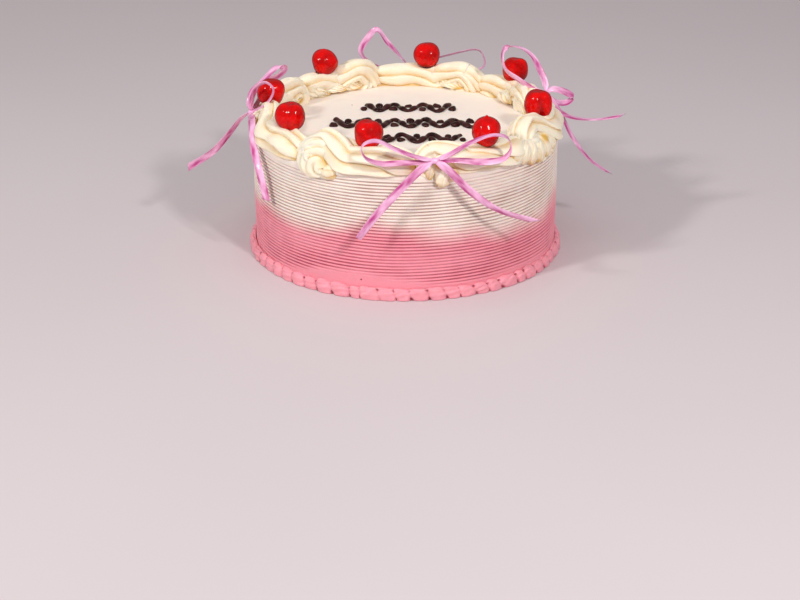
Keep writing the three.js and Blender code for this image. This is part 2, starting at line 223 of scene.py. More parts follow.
def noise(tree, where, scale, detail):
    """Smooth noise about 0.5, with as many cells in a unit of the place as its scale."""
    return place(tree, "ShaderNodeTexNoise", {"Vector": where, "Scale": scale, "Detail": detail})["Fac"]


def bump(tree, height, strength, distance):
    """A normal that tilts as if the height were real, up to a distance in metres."""
    inputs = {"Height": height, "Strength": strength, "Distance": distance}
    return place(tree, "ShaderNodeBump", inputs)["Normal"]


def calculate(tree, operation, *values, **settings):
    """One step of arithmetic."""
    return place(tree, "ShaderNodeMath", dict(enumerate(values)), operation=operation, **settings)[0]


def ranged(tree, value, between, gives):
    """Maps a value from one range to another, with soft ends."""
    inputs = dict(enumerate([value, *between, *gives]))
    return place(tree, "ShaderNodeMapRange", inputs, interpolation_type="SMOOTHSTEP")[0]


def blend_colours(tree, share, first, second):
    """Mixes two colours by a share of the second."""
    return place(tree, "ShaderNodeMix", {0: share, 6: first, 7: second}, data_type="RGBA")[2]


def colour(red, green, blue):
    """A screen colour as linear light: ((c + 0.055) / 1.055)^2.4."""
    share = (np.array([red, green, blue]) / 255 + 0.055) / 1.055
    return (*share**2.4, 1)


def new_material(name):
    """An empty material, its node tree and its Principled shader."""
    material = bpy.data.materials.new(name)
    material.use_nodes = True
    tree = material.node_tree
    return material, tree, tree.nodes["Principled BSDF"]


print("a middle grey as linear light:", round(colour(128, 128, 128)[0], 3))

# %% [markdown]
# ## How cream looks
# Buttercream is nearly matt. Its surface has a fine grain, a few pin-sized air holes, and a faint
# mottling, and light that falls into a groove comes back warmer. That warmer light and the shade in
# grooves and air holes are painted into the colour. All three creams share this, so it is one node
# group, built once, that puts out a colour and a height.

# %% The cream's grain
GRAIN_SCALE = 900  # noise cells in a metre
MOTTLE_SCALE = 70
MOTTLE_SHIFT = 0.12  # how far the mottling shifts the depth
HOLE_SCALE = 105
HOLE_SIZE = 0.085  # of a hole, as a share of its cell
HOLE_CORE = 0.6  # of that, within which the hole is fully dark
HOLE_SHARE = 0.93  # cells whose drawn number is under this have none
HOLE_DEPTH = 3.0  # against the height of the grain
DEEP_CURVE = 1.4  # above 1, a shallow groove keeps more of the crest's colour


def build_cream_grain():
    """Colour goes from the crest's to the groove's by the depth, with mottling, to a power: painted
    shade, darker and warmer in grooves. Air holes take a painted dark shade. Height is fine noise,
    less the air holes."""
    group = bpy.data.node_groups.new("cream_grain", "ShaderNodeTree")
    for name, kind, way in [
        ("Crest", "Color", "INPUT"), ("Groove", "Color", "INPUT"), ("Hole", "Color", "INPUT"),
        ("Depth", "Float", "INPUT"), ("Color", "Color", "OUTPUT"), ("Height", "Float", "OUTPUT"),
    ]:
        group.interface.new_socket(name, in_out=way, socket_type=f"NodeSocket{kind}")
    given = place(group, "NodeGroupInput")
    where = object_place(group)
    mottle = noise(group, where, MOTTLE_SCALE, detail=3)
    uneven = ranged(group, mottle, (0.3, 0.7), (-MOTTLE_SHIFT, MOTTLE_SHIFT))
    depth = calculate(group, "ADD", given["Depth"], uneven, use_clamp=True)
    share = calculate(group, "POWER", depth, DEEP_CURVE)
    # Painted shade: from the crest's colour towards the groove's darker, warmer one.
    tone = blend_colours(group, share, given["Crest"], given["Groove"])
    cells = place(group, "ShaderNodeTexVoronoi", {"Vector": where, "Scale": HOLE_SCALE})
    near = ranged(group, cells["Distance"], (HOLE_CORE * HOLE_SIZE, HOLE_SIZE), (1, 0))
    lot = place(group, "ShaderNodeSeparateColor", {0: cells["Color"]})[0]
    hole = calculate(group, "MULTIPLY", near, calculate(group, "GREATER_THAN", lot, HOLE_SHARE))
    # Painted shade: the air holes take the dark hole colour.
    tone = blend_colours(group, hole, tone, given["Hole"])
    grain = noise(group, where, GRAIN_SCALE, detail=2)
    height = calculate(group, "MULTIPLY_ADD", hole, -HOLE_DEPTH, grain)
    place(group, "NodeGroupOutput", {"Color": tone, "Height": height})
    return group


cream_grain = build_cream_grain()
print("node group:", cream_grain.name)

# %% [markdown]
# ## The three creams
# The icing on the side was spread in two colours, pink below and ivory above, and the comb blurred
# them into each other. Its colour therefore follows the height, with a slow wave in the border. The
# piped border is a warmer ivory, and the foot is pink. A little subsurface scattering lets light
# soften the ridges, as fat does in real cream.

# %% Cream materials
BLUR_LOW = 0.036  # height at which the icing is all pink, in metres
BLUR_HIGH = 0.056  # and from which it is all ivory
BLUR_WAVE = 0.008  # how far the border wanders
GRAIN_HEIGHT = 0.0003

# Each cream's second, deeper colour is painted shade and bounce light for its grooves, seams and hollows; the
# air-hole colours are painted shade inside the holes.
ICING_IVORY = colour(251, 238, 226)
ICING_IVORY_SHADED = colour(186, 150, 140)
ICING_PINK = colour(246, 156, 170)
ICING_PINK_SHADED = colour(190, 78, 100)
PIPED_IVORY = colour(253, 241, 217)
PIPED_IVORY_SHADED = colour(226, 180, 84)
PIPED_PINK = colour(246, 160, 173)
PIPED_PINK_SHADED = colour(150, 40, 60)
AIR_HOLE_SHADE = colour(120, 78, 60)
AIR_HOLE_PINK_SHADE = colour(130, 34, 52)


def finish_cream(tree, shader, crest, groove, hole, roughness, relief):
    """Feeds the shader from the cream's grain, with the groove attribute, which holds painted shade, as
    depth.
    """
    depth = place(tree, "ShaderNodeAttribute", attribute_name="groove")["Fac"]
    inputs = {"Crest": crest, "Groove": groove, "Hole": hole, "Depth": depth}
    grain = place(tree, "ShaderNodeGroup", inputs, node_tree=cream_grain)
    fill(shader, {
        "Base Color": grain["Color"],
        "Normal": bump(tree, grain["Height"], relief, GRAIN_HEIGHT),
        "Roughness": roughness,
        "Specular IOR Level": 0.35,
        "Subsurface Weight": 0.25,
        "Subsurface Radius": (1.0, 0.55, 0.3),
        "Subsurface Scale": 0.002,
    })


def make_icing_material():
    """Pink below and ivory above: the share of ivory rises smoothly with height, which a wide noise
    shifts up and down."""
    material, tree, shader = new_material("combed_icing")
    where = object_place(tree)
    height = place(tree, "ShaderNodeSeparateXYZ", {0: where})["Z"]
    wave = noise(tree, where, scale=16, detail=1)
    shift = ranged(tree, wave, (0.25, 0.75), (-BLUR_WAVE, BLUR_WAVE))
    ivory = ranged(tree, calculate(tree, "ADD", height, shift), (BLUR_LOW, BLUR_HIGH), (0, 1))
    crest = blend_colours(tree, ivory, ICING_PINK, ICING_IVORY)
    # Painted shade for the comb's grooves and the air holes, pink below and ivory above.
    groove = blend_colours(tree, ivory, ICING_PINK_SHADED, ICING_IVORY_SHADED)
    hole = blend_colours(tree, ivory, AIR_HOLE_PINK_SHADE, AIR_HOLE_SHADE)
    finish_cream(tree, shader, crest, groove, hole, roughness=0.55, relief=0.35)
    return material


def make_cream_material(name, crest, groove, hole, roughness):
    """One cream all over, with painted shade that makes it darker or yellower in its grooves."""
    material, tree, shader = new_material(name)
    finish_cream(tree, shader, crest, groove, hole, roughness, relief=0.25)
    return material


icing = make_icing_material()
piped_ivory = make_cream_material("piped_ivory_cream", PIPED_IVORY, PIPED_IVORY_SHADED, AIR_HOLE_SHADE, 0.42)
piped_pink = make_cream_material("piped_pink_cream", PIPED_PINK, PIPED_PINK_SHADED, AIR_HOLE_PINK_SHADE, 0.45)
print("creams:", icing.name, piped_ivory.name, piped_pink.name)

# %% [markdown]
# ## A candied cherry's skin
# A candied cherry is a clear red skin over redder flesh. Its colour is painted darker towards its
# outline, as painted shade by how far the surface turns from the view. Its glints could be painted,
# but then they would stay where they are when the view changes. Here a thin glossy coat with soft
# swells breaks the reflection of each lamp into a few small glints.

# %% Cherry material
def make_cherry_material():
    """Red that deepens with a wide noise, and painted shade that darkens it towards the outline, under a coat
    with gentle swells.
    """
    material, tree, shader = new_material("candied_cherry")
    where = object_place(tree)
    blush = ranged(tree, noise(tree, where, scale=130, detail=2), (0.35, 0.7), (0, 1))
    # Painted shade: the red darkens towards the outline, by how far the surface turns from the view.
    facing = place(tree, "ShaderNodeLayerWeight", {"Blend": 0.5})["Facing"]
    edge = ranged(tree, facing, (0.45, 0.95), (0, 1))
    red = blend_colours(tree, blush, colour(224, 0, 0), colour(180, 0, 0))
    fine = noise(tree, where, scale=420, detail=3)
    swells = noise(tree, where, scale=330, detail=0)
    fill(shader, {
        # the dark red at the outline is painted shade
        "Base Color": blend_colours(tree, edge, red, colour(120, 0, 0)),
        "Roughness": ranged(tree, fine, (0.3, 0.7), (0.12, 0.26)),
        "Normal": bump(tree, fine, strength=0.6, distance=0.0016),
        "Specular IOR Level": 0,
        "Coat Weight": 0.5,
        "Coat IOR": 1.5,
        "Coat Roughness": 0.14,
        "Coat Normal": bump(tree, swells, strength=0.5, distance=0.0008),
        "Subsurface Weight": 0.15,
        "Subsurface Radius": (1.0, 0.15, 0.1),
        "Subsurface Scale": 0.003,
    })
    return material


candied_cherry = make_cherry_material()
print("fruit:", candied_cherry.name)

# %% [markdown]
# ## Satin
# Satin is woven with long threads on its face. Its tone changes slowly along the ribbon, as when it
# turns to and from the light: that is painted sheen and painted shade, a pale pink and a deep one,
# and its threads run along it too. A pattern that reads the place on the object would cross the
# ribbon at each bend, so both follow the ribbon's own UV.

# %% Satin material
def make_satin_material():
    """Pink that shifts slowly along the ribbon between a painted pale sheen and a painted deep shade,
    with fine threads that run along it as height. The UV is 0 to 1 across the ribbon, and counts its
    widths along it."""
    material, tree, shader = new_material("satin_ribbon")
    band = place(tree, "ShaderNodeUVMap", uv_map="ribbon")["UV"]
    slow, threads = (place(tree, "ShaderNodeMapping", {"Vector": band, "Scale": scale})[0]
                     for scale in [(0.9, 0.26, 1), (30, 1.2, 1)])
    shade = ranged(tree, noise(tree, slow, scale=1, detail=2), (0.36, 0.64), (0, 1))
    thread = noise(tree, threads, scale=1, detail=2)
    fill(shader, {
        # painted sheen (pale pink) to painted shade (deep pink), slowly along the ribbon
        "Base Color": blend_colours(tree, shade, colour(253, 194, 230), colour(190, 56, 134)),
        "Roughness": ranged(tree, thread, (0.3, 0.7), (0.22, 0.36)),
        "Normal": bump(tree, thread, strength=0.25, distance=0.0001),
        "Specular IOR Level": 0.9,
        "Sheen Weight": 0.3,
        "Sheen Roughness": 0.3,
    })
    return material


satin = make_satin_material()
print("ribbon:", satin.name)

# %% [markdown]
# ## Set chocolate
# Piped chocolate sets dark, with soft dents and a bloom of duller patches. The bloom could be a
# second material laid over the first, but one noise that drives both colour and roughness keeps the
# pale places and the dull ones together.

# %% Chocolate material
def make_chocolate_material():
    """Very dark brown, with soft dents and a dull bloom in patches."""
    material, tree, shader = new_material("piped_chocolate")
    where = object_place(tree)
    bloom = noise(tree, where, scale=150, detail=3)
    patch = ranged(tree, bloom, (0.4, 0.65), (0, 1))
    fill(shader, {
        "Base Color": blend_colours(tree, patch, colour(38, 12, 10), colour(64, 28, 25)),
        "Roughness": ranged(tree, bloom, (0.35, 0.65), (0.25, 0.45)),
        "Normal": bump(tree, noise(tree, where, scale=380, detail=2), strength=0.4, distance=0.0008),
        "Specular IOR Level": 0.2,
    })
    return material


piped_chocolate = make_chocolate_material()
print("chocolate:", piped_chocolate.name)

# %% [markdown]
# ## The combed icing
# The baker spreads the cream, holds a toothed comb against the turning cake and levels the top. It
# could be a cylinder with a bump map, but the grooves show against the light at the edge, so they
# are real: a profile is turned about the axis, and its radius also depends on the angle. The comb
# shakes a little. Just above the foot it left a band bare, which is widest in the left of the front,
# where a patch is wiped smooth.

# %% Icing
CAKE_RADIUS = 106.9
CAKE_HEIGHT = 88.0
EDGE_ROUND = 3.0
EDGE_STEPS = 6
BEVEL = 0.6  # at the bottom
TOP_STEPS = 12
TOP_WAVE = 0.12
INNERMOST = 0.02  # the flats' smallest ring, which a fan closes, as a share of the radius
COMB_FIRST = 5.0
COMB_LAST = 84.0
COMB_GROOVES = 36
COMB_PITCH = (COMB_LAST - COMB_FIRST) / (COMB_GROOVES - 1)
COMB_DEPTH = 0.8
COMB_SHAKE = 0.22  # how far a groove wanders up and down
COMB_UNEVEN = 0.15  # how much its depth changes
GROOVE_NARROW = 1.6  # above 1, grooves are narrower than crests
GROOVE_DEEPEST = 1.2  # of a groove, as a share of the comb's depth
SWELL = 0.25  # slow unevenness of the side
ICING_COLUMNS = 384
SAMPLES_PER_GROOVE = 6
BARE_FOOT = 3.0  # height without grooves above the foot
BARE_FOOT_WAVE = 2.0
BARE_FOOT_FADE = 7.0  # further height over which they deepen
WIPED_ANGLE = math.radians(249)  # middle of the wiped patch above the foot
WIPED_SPREAD = 0.45  # in radians
WIPED_HEIGHT = 9.0
BARE_EDGE = 3.5  # below the top
BARE_EDGE_FADE = 2.5


def comb_depth(angle, height):
    """How much of a groove is left: all of it, less near the foot, the top edge and the patch."""
    away = np.abs((angle - WIPED_ANGLE + np.pi) % (2 * np.pi) - np.pi)
    bare = BARE_FOOT + WIPED_HEIGHT * np.exp(-((away / WIPED_SPREAD) ** 2))
    bare = bare + BARE_FOOT_WAVE * ripples(11, 0, angle, 0, 5)
    above_foot = smooth((height - bare) / BARE_FOOT_FADE)
    edge = CAKE_HEIGHT - BARE_EDGE + ripples(12, 0, angle, 0, 9)
    below_edge = smooth((edge - height) / BARE_EDGE_FADE)
    return above_foot * below_edge * (1 + COMB_UNEVEN * ripples(13, height / CAKE_HEIGHT, angle, 4, 7))


def icing_shell():
    """The side's radius is the cake's, less a groove that repeats with height, plus a slow swell.
    Above and below, the profile is a quarter round and a flat disc."""
    angle = angles_round(ICING_COLUMNS)[None, :]
    side_rows = int(COMB_LAST / COMB_PITCH * SAMPLES_PER_GROOVE)
    height = np.linspace(BEVEL, CAKE_HEIGHT - EDGE_ROUND, side_rows)[:, None]
    shaken = height + COMB_SHAKE * ripples(14, height / CAKE_HEIGHT, angle, 2, 9)
    wave = 0.5 + 0.5 * np.cos(2 * np.pi * (shaken - COMB_FIRST) / COMB_PITCH)
    groove = wave**GROOVE_NARROW * np.clip(comb_depth(angle, height), 0, GROOVE_DEEPEST)
    swell = SWELL * ripples(15, height / CAKE_HEIGHT, angle, 1.5, 6)
    side = CAKE_RADIUS + swell - COMB_DEPTH * groove
    bend = np.linspace(0, np.pi / 2, EDGE_STEPS)[1:, None]
    corner = side[-1:] - EDGE_ROUND * (1 - np.cos(bend))
    corner_height = CAKE_HEIGHT - EDGE_ROUND * (1 - np.sin(bend))
    share = np.linspace(1, INNERMOST, TOP_STEPS)[1:, None]
    top = corner[-1:] * share
    top_height = CAKE_HEIGHT + TOP_WAVE * ripples(16, share, angle, 2, 4) * (1 - share) * share * 4
    floor = np.array([[INNERMOST], [0.5], [1.0]]) * (CAKE_RADIUS - BEVEL) + 0 * angle
    radius = np.concatenate([floor, side, corner, top])
    level = np.concatenate([0 * floor, height + 0 * angle, corner_height + 0 * angle, top_height])
    # The comb's grooves also take painted shade: the icing's colour darkens there by the groove depth.
    depth = np.concatenate([0 * floor, groove, 0 * corner, 0 * top])
    return tube(turned(radius, angle, level), np.clip(depth, 0, 1))


make_piece("combed_icing", [icing_shell()], icing, "cake_body")

# %% [markdown]
# ## The chocolate ornament
# Melted chocolate is piped from a bag with a small round tip, so the stroke is a round rope that
# sinks a little into the cream, swells where the hand slows and ends in a drop. Three rows of a
# swinging rope with a dot in each bend lie across the top. The rope is a round section carried
# along a cosine, and a dot is a short, thick rope.

# %% Chocolate
CHOCOLATE_HALF_WIDTH = 2.1
CHOCOLATE_HEIGHT = 2.4
CHOCOLATE_SUNK = 0.6
CHOCOLATE_SWELL = 0.16
CHOCOLATE_WAVE = 9.0  # length of its shortest swelling
CHOCOLATE_COLUMNS = 20
CHOCOLATE_BLUNT = 0.03  # how far a rope is open in its very first and last rows
SWING_STEPS = 22
SWING_WOBBLE = 0.5
DOT_SWAY = -0.45  # of a dot, as a share of the rope's sway
DOT_RADIUS = 2.5
DOT_STEPS = 15
DOT_SIZES = (0.9, 1.05)  # the least and the most
DOT_ASTRAY = 0.4  # how far a dot lies off its place
DAB_DRIFT = (0.4, 0)  # how the hand moves on average as it makes a dot
DAB_SPREAD = 0.5  # and how far off that
DAB_SHARE = 0.9
# Each row: its middle, the number of its swings, their length along the row and their sway
CHOCOLATE_ROWS = [((2, 33), 6, 10.5, 7.5), ((3, -3), 10, 10.7, 8.0), ((8, -35), 6, 10.5, 7.0)]


def lengths_along(path):
    """The length of a path up to each of its points."""
    return np.concatenate([[0], np.cumsum(np.linalg.norm(np.diff(path, axis=0), axis=1))])


def unit(vectors):
    """Each vector divided by its length."""
    return vectors / np.linalg.norm(vectors, axis=1, keepdims=True)


def heading(path):
    """The direction of a path at each of its points."""
    return unit(np.gradient(path, axis=0))


def sunk_rope(path, half_width, seed):
    """A round section carried along a level path. Its size follows a few waves and closes at both
    ends like a quarter circle."""
    length = lengths_along(path)
    share = length / length[-1]
    to_end = np.minimum(length, length[-1] - length) / half_width
    waves = ripples(seed, share, 0, length[-1] / CHOCOLATE_WAVE, 0)
    size = (round_end(to_end + CHOCOLATE_BLUNT) * (1 + CHOCOLATE_SWELL * waves))[:, None]
    ahead = heading(path)
    turn = angles_round(CHOCOLATE_COLUMNS)[None, :]
    side = half_width * size * np.cos(turn)
    rise = (CHOCOLATE_HEIGHT + CHOCOLATE_SUNK) / 2
    up = CAKE_HEIGHT - CHOCOLATE_SUNK + rise * (1 + np.sin(turn)) * size
    return tube(np.stack([path[:, :1] + side * ahead[:, 1:], path[:, 1:] - side * ahead[:, :1], up], -1))


def chocolate_row(seed, middle, swings, swing, sway):
    """The rope swings as a cosine across the row, and each bend holds a dot on its other side."""
    start = middle[0] - swings * swing / 2
    turns = np.linspace(0, swings, swings * SWING_STEPS + 1)
    wobble = SWING_WOBBLE * ripples(seed, turns / swings, 0, swings, 0)
    path = np.stack([start + turns * swing, middle[1] + sway * np.cos(np.pi * turns) + wobble], 1)
    shells = [sunk_rope(path, CHOCOLATE_HALF_WIDTH, seed)]
    draw = np.random.default_rng(seed)
    along = np.linspace(-1, 1, DOT_STEPS)[:, None]
    for k in range(swings + 1):
        spot = np.array([start + k * swing, middle[1] + DOT_SWAY * sway * np.cos(np.pi * k)])
        spot = spot + draw.uniform(-DOT_ASTRAY, DOT_ASTRAY, 2)
        dab = draw.uniform(-DAB_SPREAD, DAB_SPREAD, 2) + np.array(DAB_DRIFT)
        line = spot + along * dab * DAB_SHARE + along * DOT_RADIUS * dab / np.linalg.norm(dab)
        shells.append(sunk_rope(line, DOT_RADIUS * draw.uniform(*DOT_SIZES), seed + k))
    return shells


rows_of_chocolate = [shell for k, row in enumerate(CHOCOLATE_ROWS)
                     for shell in chocolate_row(30 + k, *row)]
make_piece("chocolate_ornament", rows_of_chocolate, piped_chocolate, "cake_body")

# %% [markdown]
# ## The beaded foot
# Along the bottom runs a row of pink beads: the bag is squeezed, pulled a little and released, and
# each bead leans over the tail of the one before, with small pits in the seam. The whole row is one
# ring whose section swells and shrinks. The place within a bead depends on the angle and, a little,
# on the height, which makes the seams slant.

# %% Foot
FOOT_INNER = CAKE_RADIUS + 0.2
BEAD_COUNT = 62
BEAD_HEIGHT = 8.0
BEAD_OUT = 4.4
BEAD_PITCH = 2 * math.pi * (FOOT_INNER + BEAD_OUT) / BEAD_COUNT
BEAD_SIZES = (0.86, 1.06)  # the least and the most
SEAM_SIZES = (0.52, 0.86)
BEAD_SLANT = 0.2  # how far a seam leans, in beads
BEAD_SHAKE = 0.12  # how far it wanders
BEAD_RIPPLE = 0.035
BEAD_OUT_CURVE = 0.7  # under 1, the section is fuller than a quarter round
BEAD_UP_CURVE = 0.9
BEAD_UP_SHARE = 0.6  # how much the height follows the size
FOOT_WAVE = 0.25  # how far the top of the whole row goes up and down
SEAM_SHADE = 0.35  # how much painted shade, the deep colour, a seam takes
PIT_SHADE = 1.6  # and a pit, as painted shade
PIT_DEPTH = 1.3
PIT_RADIUS = 1.0
PIT_RISES = (0.06, 0.7)  # where pits lie on the section, as shares of its quarter turn
BEAD_COLUMNS = 24  # steps round the cake for each bead
FOOT_ROWS = 34


def foot_shell():
    """A section of about a quarter round, times a size. That is the seam's where a bead begins and
    ends and the bead's own in between, by sin(pi x^0.8)^0.6 of the place x in the bead."""
    count = BEAD_COUNT * BEAD_COLUMNS
    angle = angles_round(count)[:, None]
    turn = np.linspace(0, np.pi / 2, FOOT_ROWS)[None, :]
    shake = BEAD_SHAKE * ripples(41, 0, angle, 0, 31)
    place_in_row = angle * BEAD_COUNT / (2 * np.pi) + BEAD_SLANT * np.sin(turn) + shake
    number = np.floor(place_in_row).astype(int) % BEAD_COUNT
    within = place_in_row % 1
    bead = np.random.default_rng(42).uniform(*BEAD_SIZES, BEAD_COUNT)[number]
    seams = np.random.default_rng(46).uniform(*SEAM_SIZES, BEAD_COUNT)
    seam = mix(seams[number], seams[(number + 1) % BEAD_COUNT], smooth(within))
    swelling = np.sin(np.pi * within**0.8) ** 0.6
    size = mix(seam, bead, swelling) + BEAD_RIPPLE * ripples(44, turn, angle, 2, 97)
    from_seam = np.minimum(within, 1 - within) * BEAD_PITCH
    pit = 0
    for row, pit_rise in enumerate(PIT_RISES):
        from_pit = np.hypot(from_seam, (turn / (np.pi / 2) - pit_rise) * BEAD_HEIGHT)
        strength = np.random.default_rng(45 + row * 3).uniform(0, 1, BEAD_COUNT)[number]
        pit = pit + strength * np.exp(-((from_pit / PIT_RADIUS) ** 2))
    out = FOOT_INNER + BEAD_OUT * size * np.cos(turn) ** BEAD_OUT_CURVE - PIT_DEPTH * pit
    out = np.clip(out, FOOT_INNER, FOOT_INNER + BEAD_OUT)
    up = BEAD_HEIGHT * mix(1, size, BEAD_UP_SHARE) * np.sin(turn) ** BEAD_UP_CURVE
    up = up + FOOT_WAVE * ripples(43, 0, angle, 0, 14) * np.sin(turn)
    back = np.full((count, 1), FOOT_INNER)
    radius = np.concatenate([back, out, back], 1)
    level = np.concatenate([0 * back, up, up[:, -1:] * 0.5], 1)
    # Painted shade: the deep pink darkens the seams between beads and the pits.
    depth = np.clip(SEAM_SHADE * (1 - swelling) ** 2 + PIT_SHADE * pit, 0, 1)
    groove = np.concatenate([0 * back, depth, 0 * back], 1)
    return hoop(turned(radius, angle, level)[:, ::-1], groove[:, ::-1])


make_piece("beaded_foot_cream", [foot_shell()], piped_pink, "beaded_foot")

# %% [markdown]
# ## Cherries
# A candied cherry keeps the dimple or the stub of its stem, a blunt point below and often the cleft
# where the stone came out. The radius of a ball is lowered or raised as a function of direction: a
# power of the height makes dimple and point, and a power of the cosine of the bearing makes the
# cleft.

# %% Cherries
CHERRY_RADIUS = 9.6
CHERRY_DIMPLE = 0.12
CHERRY_POINT = 0.06
CHERRY_SQUARE = 0.05  # how far it bulges halfway up and down
CHERRY_WAVE = 0.04
CHERRY_ROWS = 60
CHERRY_COLUMNS = 64
CHERRY_END = 0.985  # of the way to the poles, where fans close the ball
# The angle, distance from the axis and height of its middle, its size, the cleft's depth and
# bearing, how much it narrows downwards, and the size of the stub of its stem
Cherry = namedtuple("Cherry", "name angle away height size cleft cleft_at taper stub")
CHERRIES = [
    Cherry("front_left", 254.5, 90, 109, 1.0, 0.05, 40, 0.02, 0),
    Cherry("front_right", 303.5, 97, 109, 1.0, 0.05, 100, 0.02, 0.16),
    Cherry("right", 346.5, 94, 109, 1.05, 0.36, 291, 0.04, 0),
    Cherry("back_right", 37, 100, 109, 0.96, 0.1, 250, 0.0, 0),
    Cherry("back", 80.5, 95.5, 109, 1.0, 0.1, 262, 0.16, 0),
    Cherry("back_left", 128.5, 96, 109, 0.98, 0.04, 200, 0.14, 0.05),
    Cherry("left", 177, 94, 109, 0.98, 0.2, 290, 0.04, 0),
    Cherry("left_front", 212.5, 91.5, 109, 1.02, 0.1, 255, 0.0, 0),
]


def cherry_middle(cherry):
    """The middle of a cherry, from its angle, its distance from the axis and its height."""
    angle = math.radians(cherry.angle)
    return np.array([cherry.away * math.cos(angle), cherry.away * math.sin(angle), cherry.height])


def cherry_shell(cherry, seed):
    """Radius = size x (1 - dimple z^10 + point (-z)^3 + taper z + 4 square z^2 (1 - z^2)
    + stub z^150 - cleft cos(bearing)^10 (1 - z^2)^0.5 (1 - 0.7 z) + waves), where z is the sine of
    the rise. A cherry that narrows more is less square, and one with a stub has no dimple."""
    rise = np.linspace(-CHERRY_END, CHERRY_END, CHERRY_ROWS)[:, None] * np.pi / 2
    angle = angles_round(CHERRY_COLUMNS)[None, :]
    z = np.sin(rise)
    from_cleft = angle - math.radians(cherry.cleft_at)
    cleft = np.maximum(0, np.cos(from_cleft)) ** 10 * (1 - z**2) ** 0.5 * (1 - 0.7 * z)
    waves = CHERRY_WAVE * ripples(seed, (z + 1) / 2, angle, 1.2, 3) * (1 - z**2) ** 0.5
    dimple = 0 if cherry.stub > 0 else CHERRY_DIMPLE
    square = CHERRY_SQUARE * (1 - 6 * cherry.taper)
    share = 1 - dimple * np.maximum(0, z) ** 10 + CHERRY_POINT * np.maximum(0, -z) ** 3
    share = share + cherry.taper * z + square * (z**2 * (1 - z**2)) * 4
    share = share + cherry.stub * np.maximum(0, z) ** 150
    radius = CHERRY_RADIUS * cherry.size * (share - cherry.cleft * cleft + waves)
    return tube(turned(radius * np.cos(rise), angle, radius * z) + cherry_middle(cherry))


for seed, cherry in enumerate(CHERRIES):
    make_piece(f"candied_cherry_{cherry.name}", [cherry_shell(cherry, 50 + seed)], candied_cherry,
               f"cherry_{cherry.name}")

# %% [markdown]
# ## The piped scrolls
# A bag with a large star tip starts each scroll low on the edge, rises, curls round clockwise and
# runs off to the right as a broad tail, which the next scroll covers. The whole is one rope: the
# tip's teeth press grooves into it, and they run unbroken from the frilled start to the tail. So
# the rope is a ridged outline carried along a curve. The curve is given in the edge's own bent
# coordinates, outwards, along and up, and only the finished points are wrapped round the cake.

# %% The scrolls' measures
SCROLL_RING = 94.0  # radius on which the scrolls lie
CURL_LEAN = math.radians(66)  # how far the curl's plane leans outwards
CURL_MIDDLE = (2.0, 2.4)  # outwards and up, of the middle the rope curls round
CURL_RADIUS = 9.8
CURL_HALF_WIDTH = 9.0
CURL_HALF_HEIGHT = 9.6
CURL_FIRST_HEIGHT = 1.06  # where it begins, as a share of that
CURL_START = math.radians(98)  # from straight down, clockwise
CURL_STEPS = 5
CURL_SAG = 0.3
TAIL_STEPS = 8
TAIL_SHORT = 13.0  # how far the tail ends before the next scroll's middle
TAIL_OUT = 3.0
TAIL_HALF_WIDTH = 12.9
TAIL_HALF_HEIGHT = 11.0  # above its widest place, which lies at the tail's centre
TAIL_CENTRE = 4.2
TAIL_UNDER = 0.4  # height below the centre, as a share of that above
TAIL_UNDER_INSIDE = 1.1  # and on the side that faces the middle of the cake
TAIL_SWELL_END = 0.3  # share of the tail by which it has reached its full size
TAIL_OUT_END = 0.32  # and its place
TAIL_FADE_START = 0.78  # share of the tail from which it narrows
TAIL_TIP = 0.64  # size of its tip
TAIL_LEAN = math.radians(6)
START_HALF_WIDTH = 10.6
# Rows of the frilled start: out, share of the way along to the curl, up, how much of its hang it
# takes, half width as a share of the whole start's, half height and lean in degrees
START_ROWS = [
    (10.2, 0, 0.5, 1, 0.8, 3.8, 86),
    (8.4, 0, 1.4, 0.7, 0.95, 6.6, 84),
    (5.6, 0.35, 0.6, 0.2, 1, 9.4, 80),
    (3.6, 0.8, 1.8, 0, 1, 10.4, 74),
]
# The angle of its curl, its shift outwards, the curl's size, the scroll's height, size of its
# start, how far that hangs over the edge, how far along the edge it lies from the curl's middle,
# its number of ridges, and the size of the tail
Scroll = namedtuple("Scroll", "name angle shift size high start hang offset ridges tail")
SCROLLS = [
    Scroll("front_left", 237, 1, 1.1, 1.08, 0.6, 6, -0.5, 7, 1.0),
    Scroll("front", 282, 1, 0.8, 0.95, 0.8, 2, 1, 6, 1.04),
    Scroll("front_right", 331, 1.5, 1.05, 1.05, 1.1, 7, -3, 11, 1.0),
    Scroll("right", 20, 0, 0.95, 1.0, 0.95, 4, -8, 10, 0.96),
    Scroll("back_right", 63, 0, 0.98, 1.05, 1.0, 5, -6, 11, 1.0),
    Scroll("back", 114, 0, 1.1, 1.1, 1.05, 4, -7, 10, 1.0),
    Scroll("back_left", 153, 0, 0.97, 1.0, 0.95, 6, -5, 10, 0.96),
    Scroll("left", 189, 1, 0.97, 1.0, 0.95, 4, -7, 9, 0.98),
]
print("scrolls:", len(SCROLLS))

# %% [markdown]
# ## The rope's course
# The hand's path could be drawn as a curve with handles, but handles are hard to read. Here it is a
# list of places, each with the rope's size and lean there, and a smooth curve goes through them
# all. A start that rises, a half circle and a tail follow each other, and every scroll stretches
# them by its own measures.

# %% Courses of the ropes
SAMPLES_PER_PLACE = 40


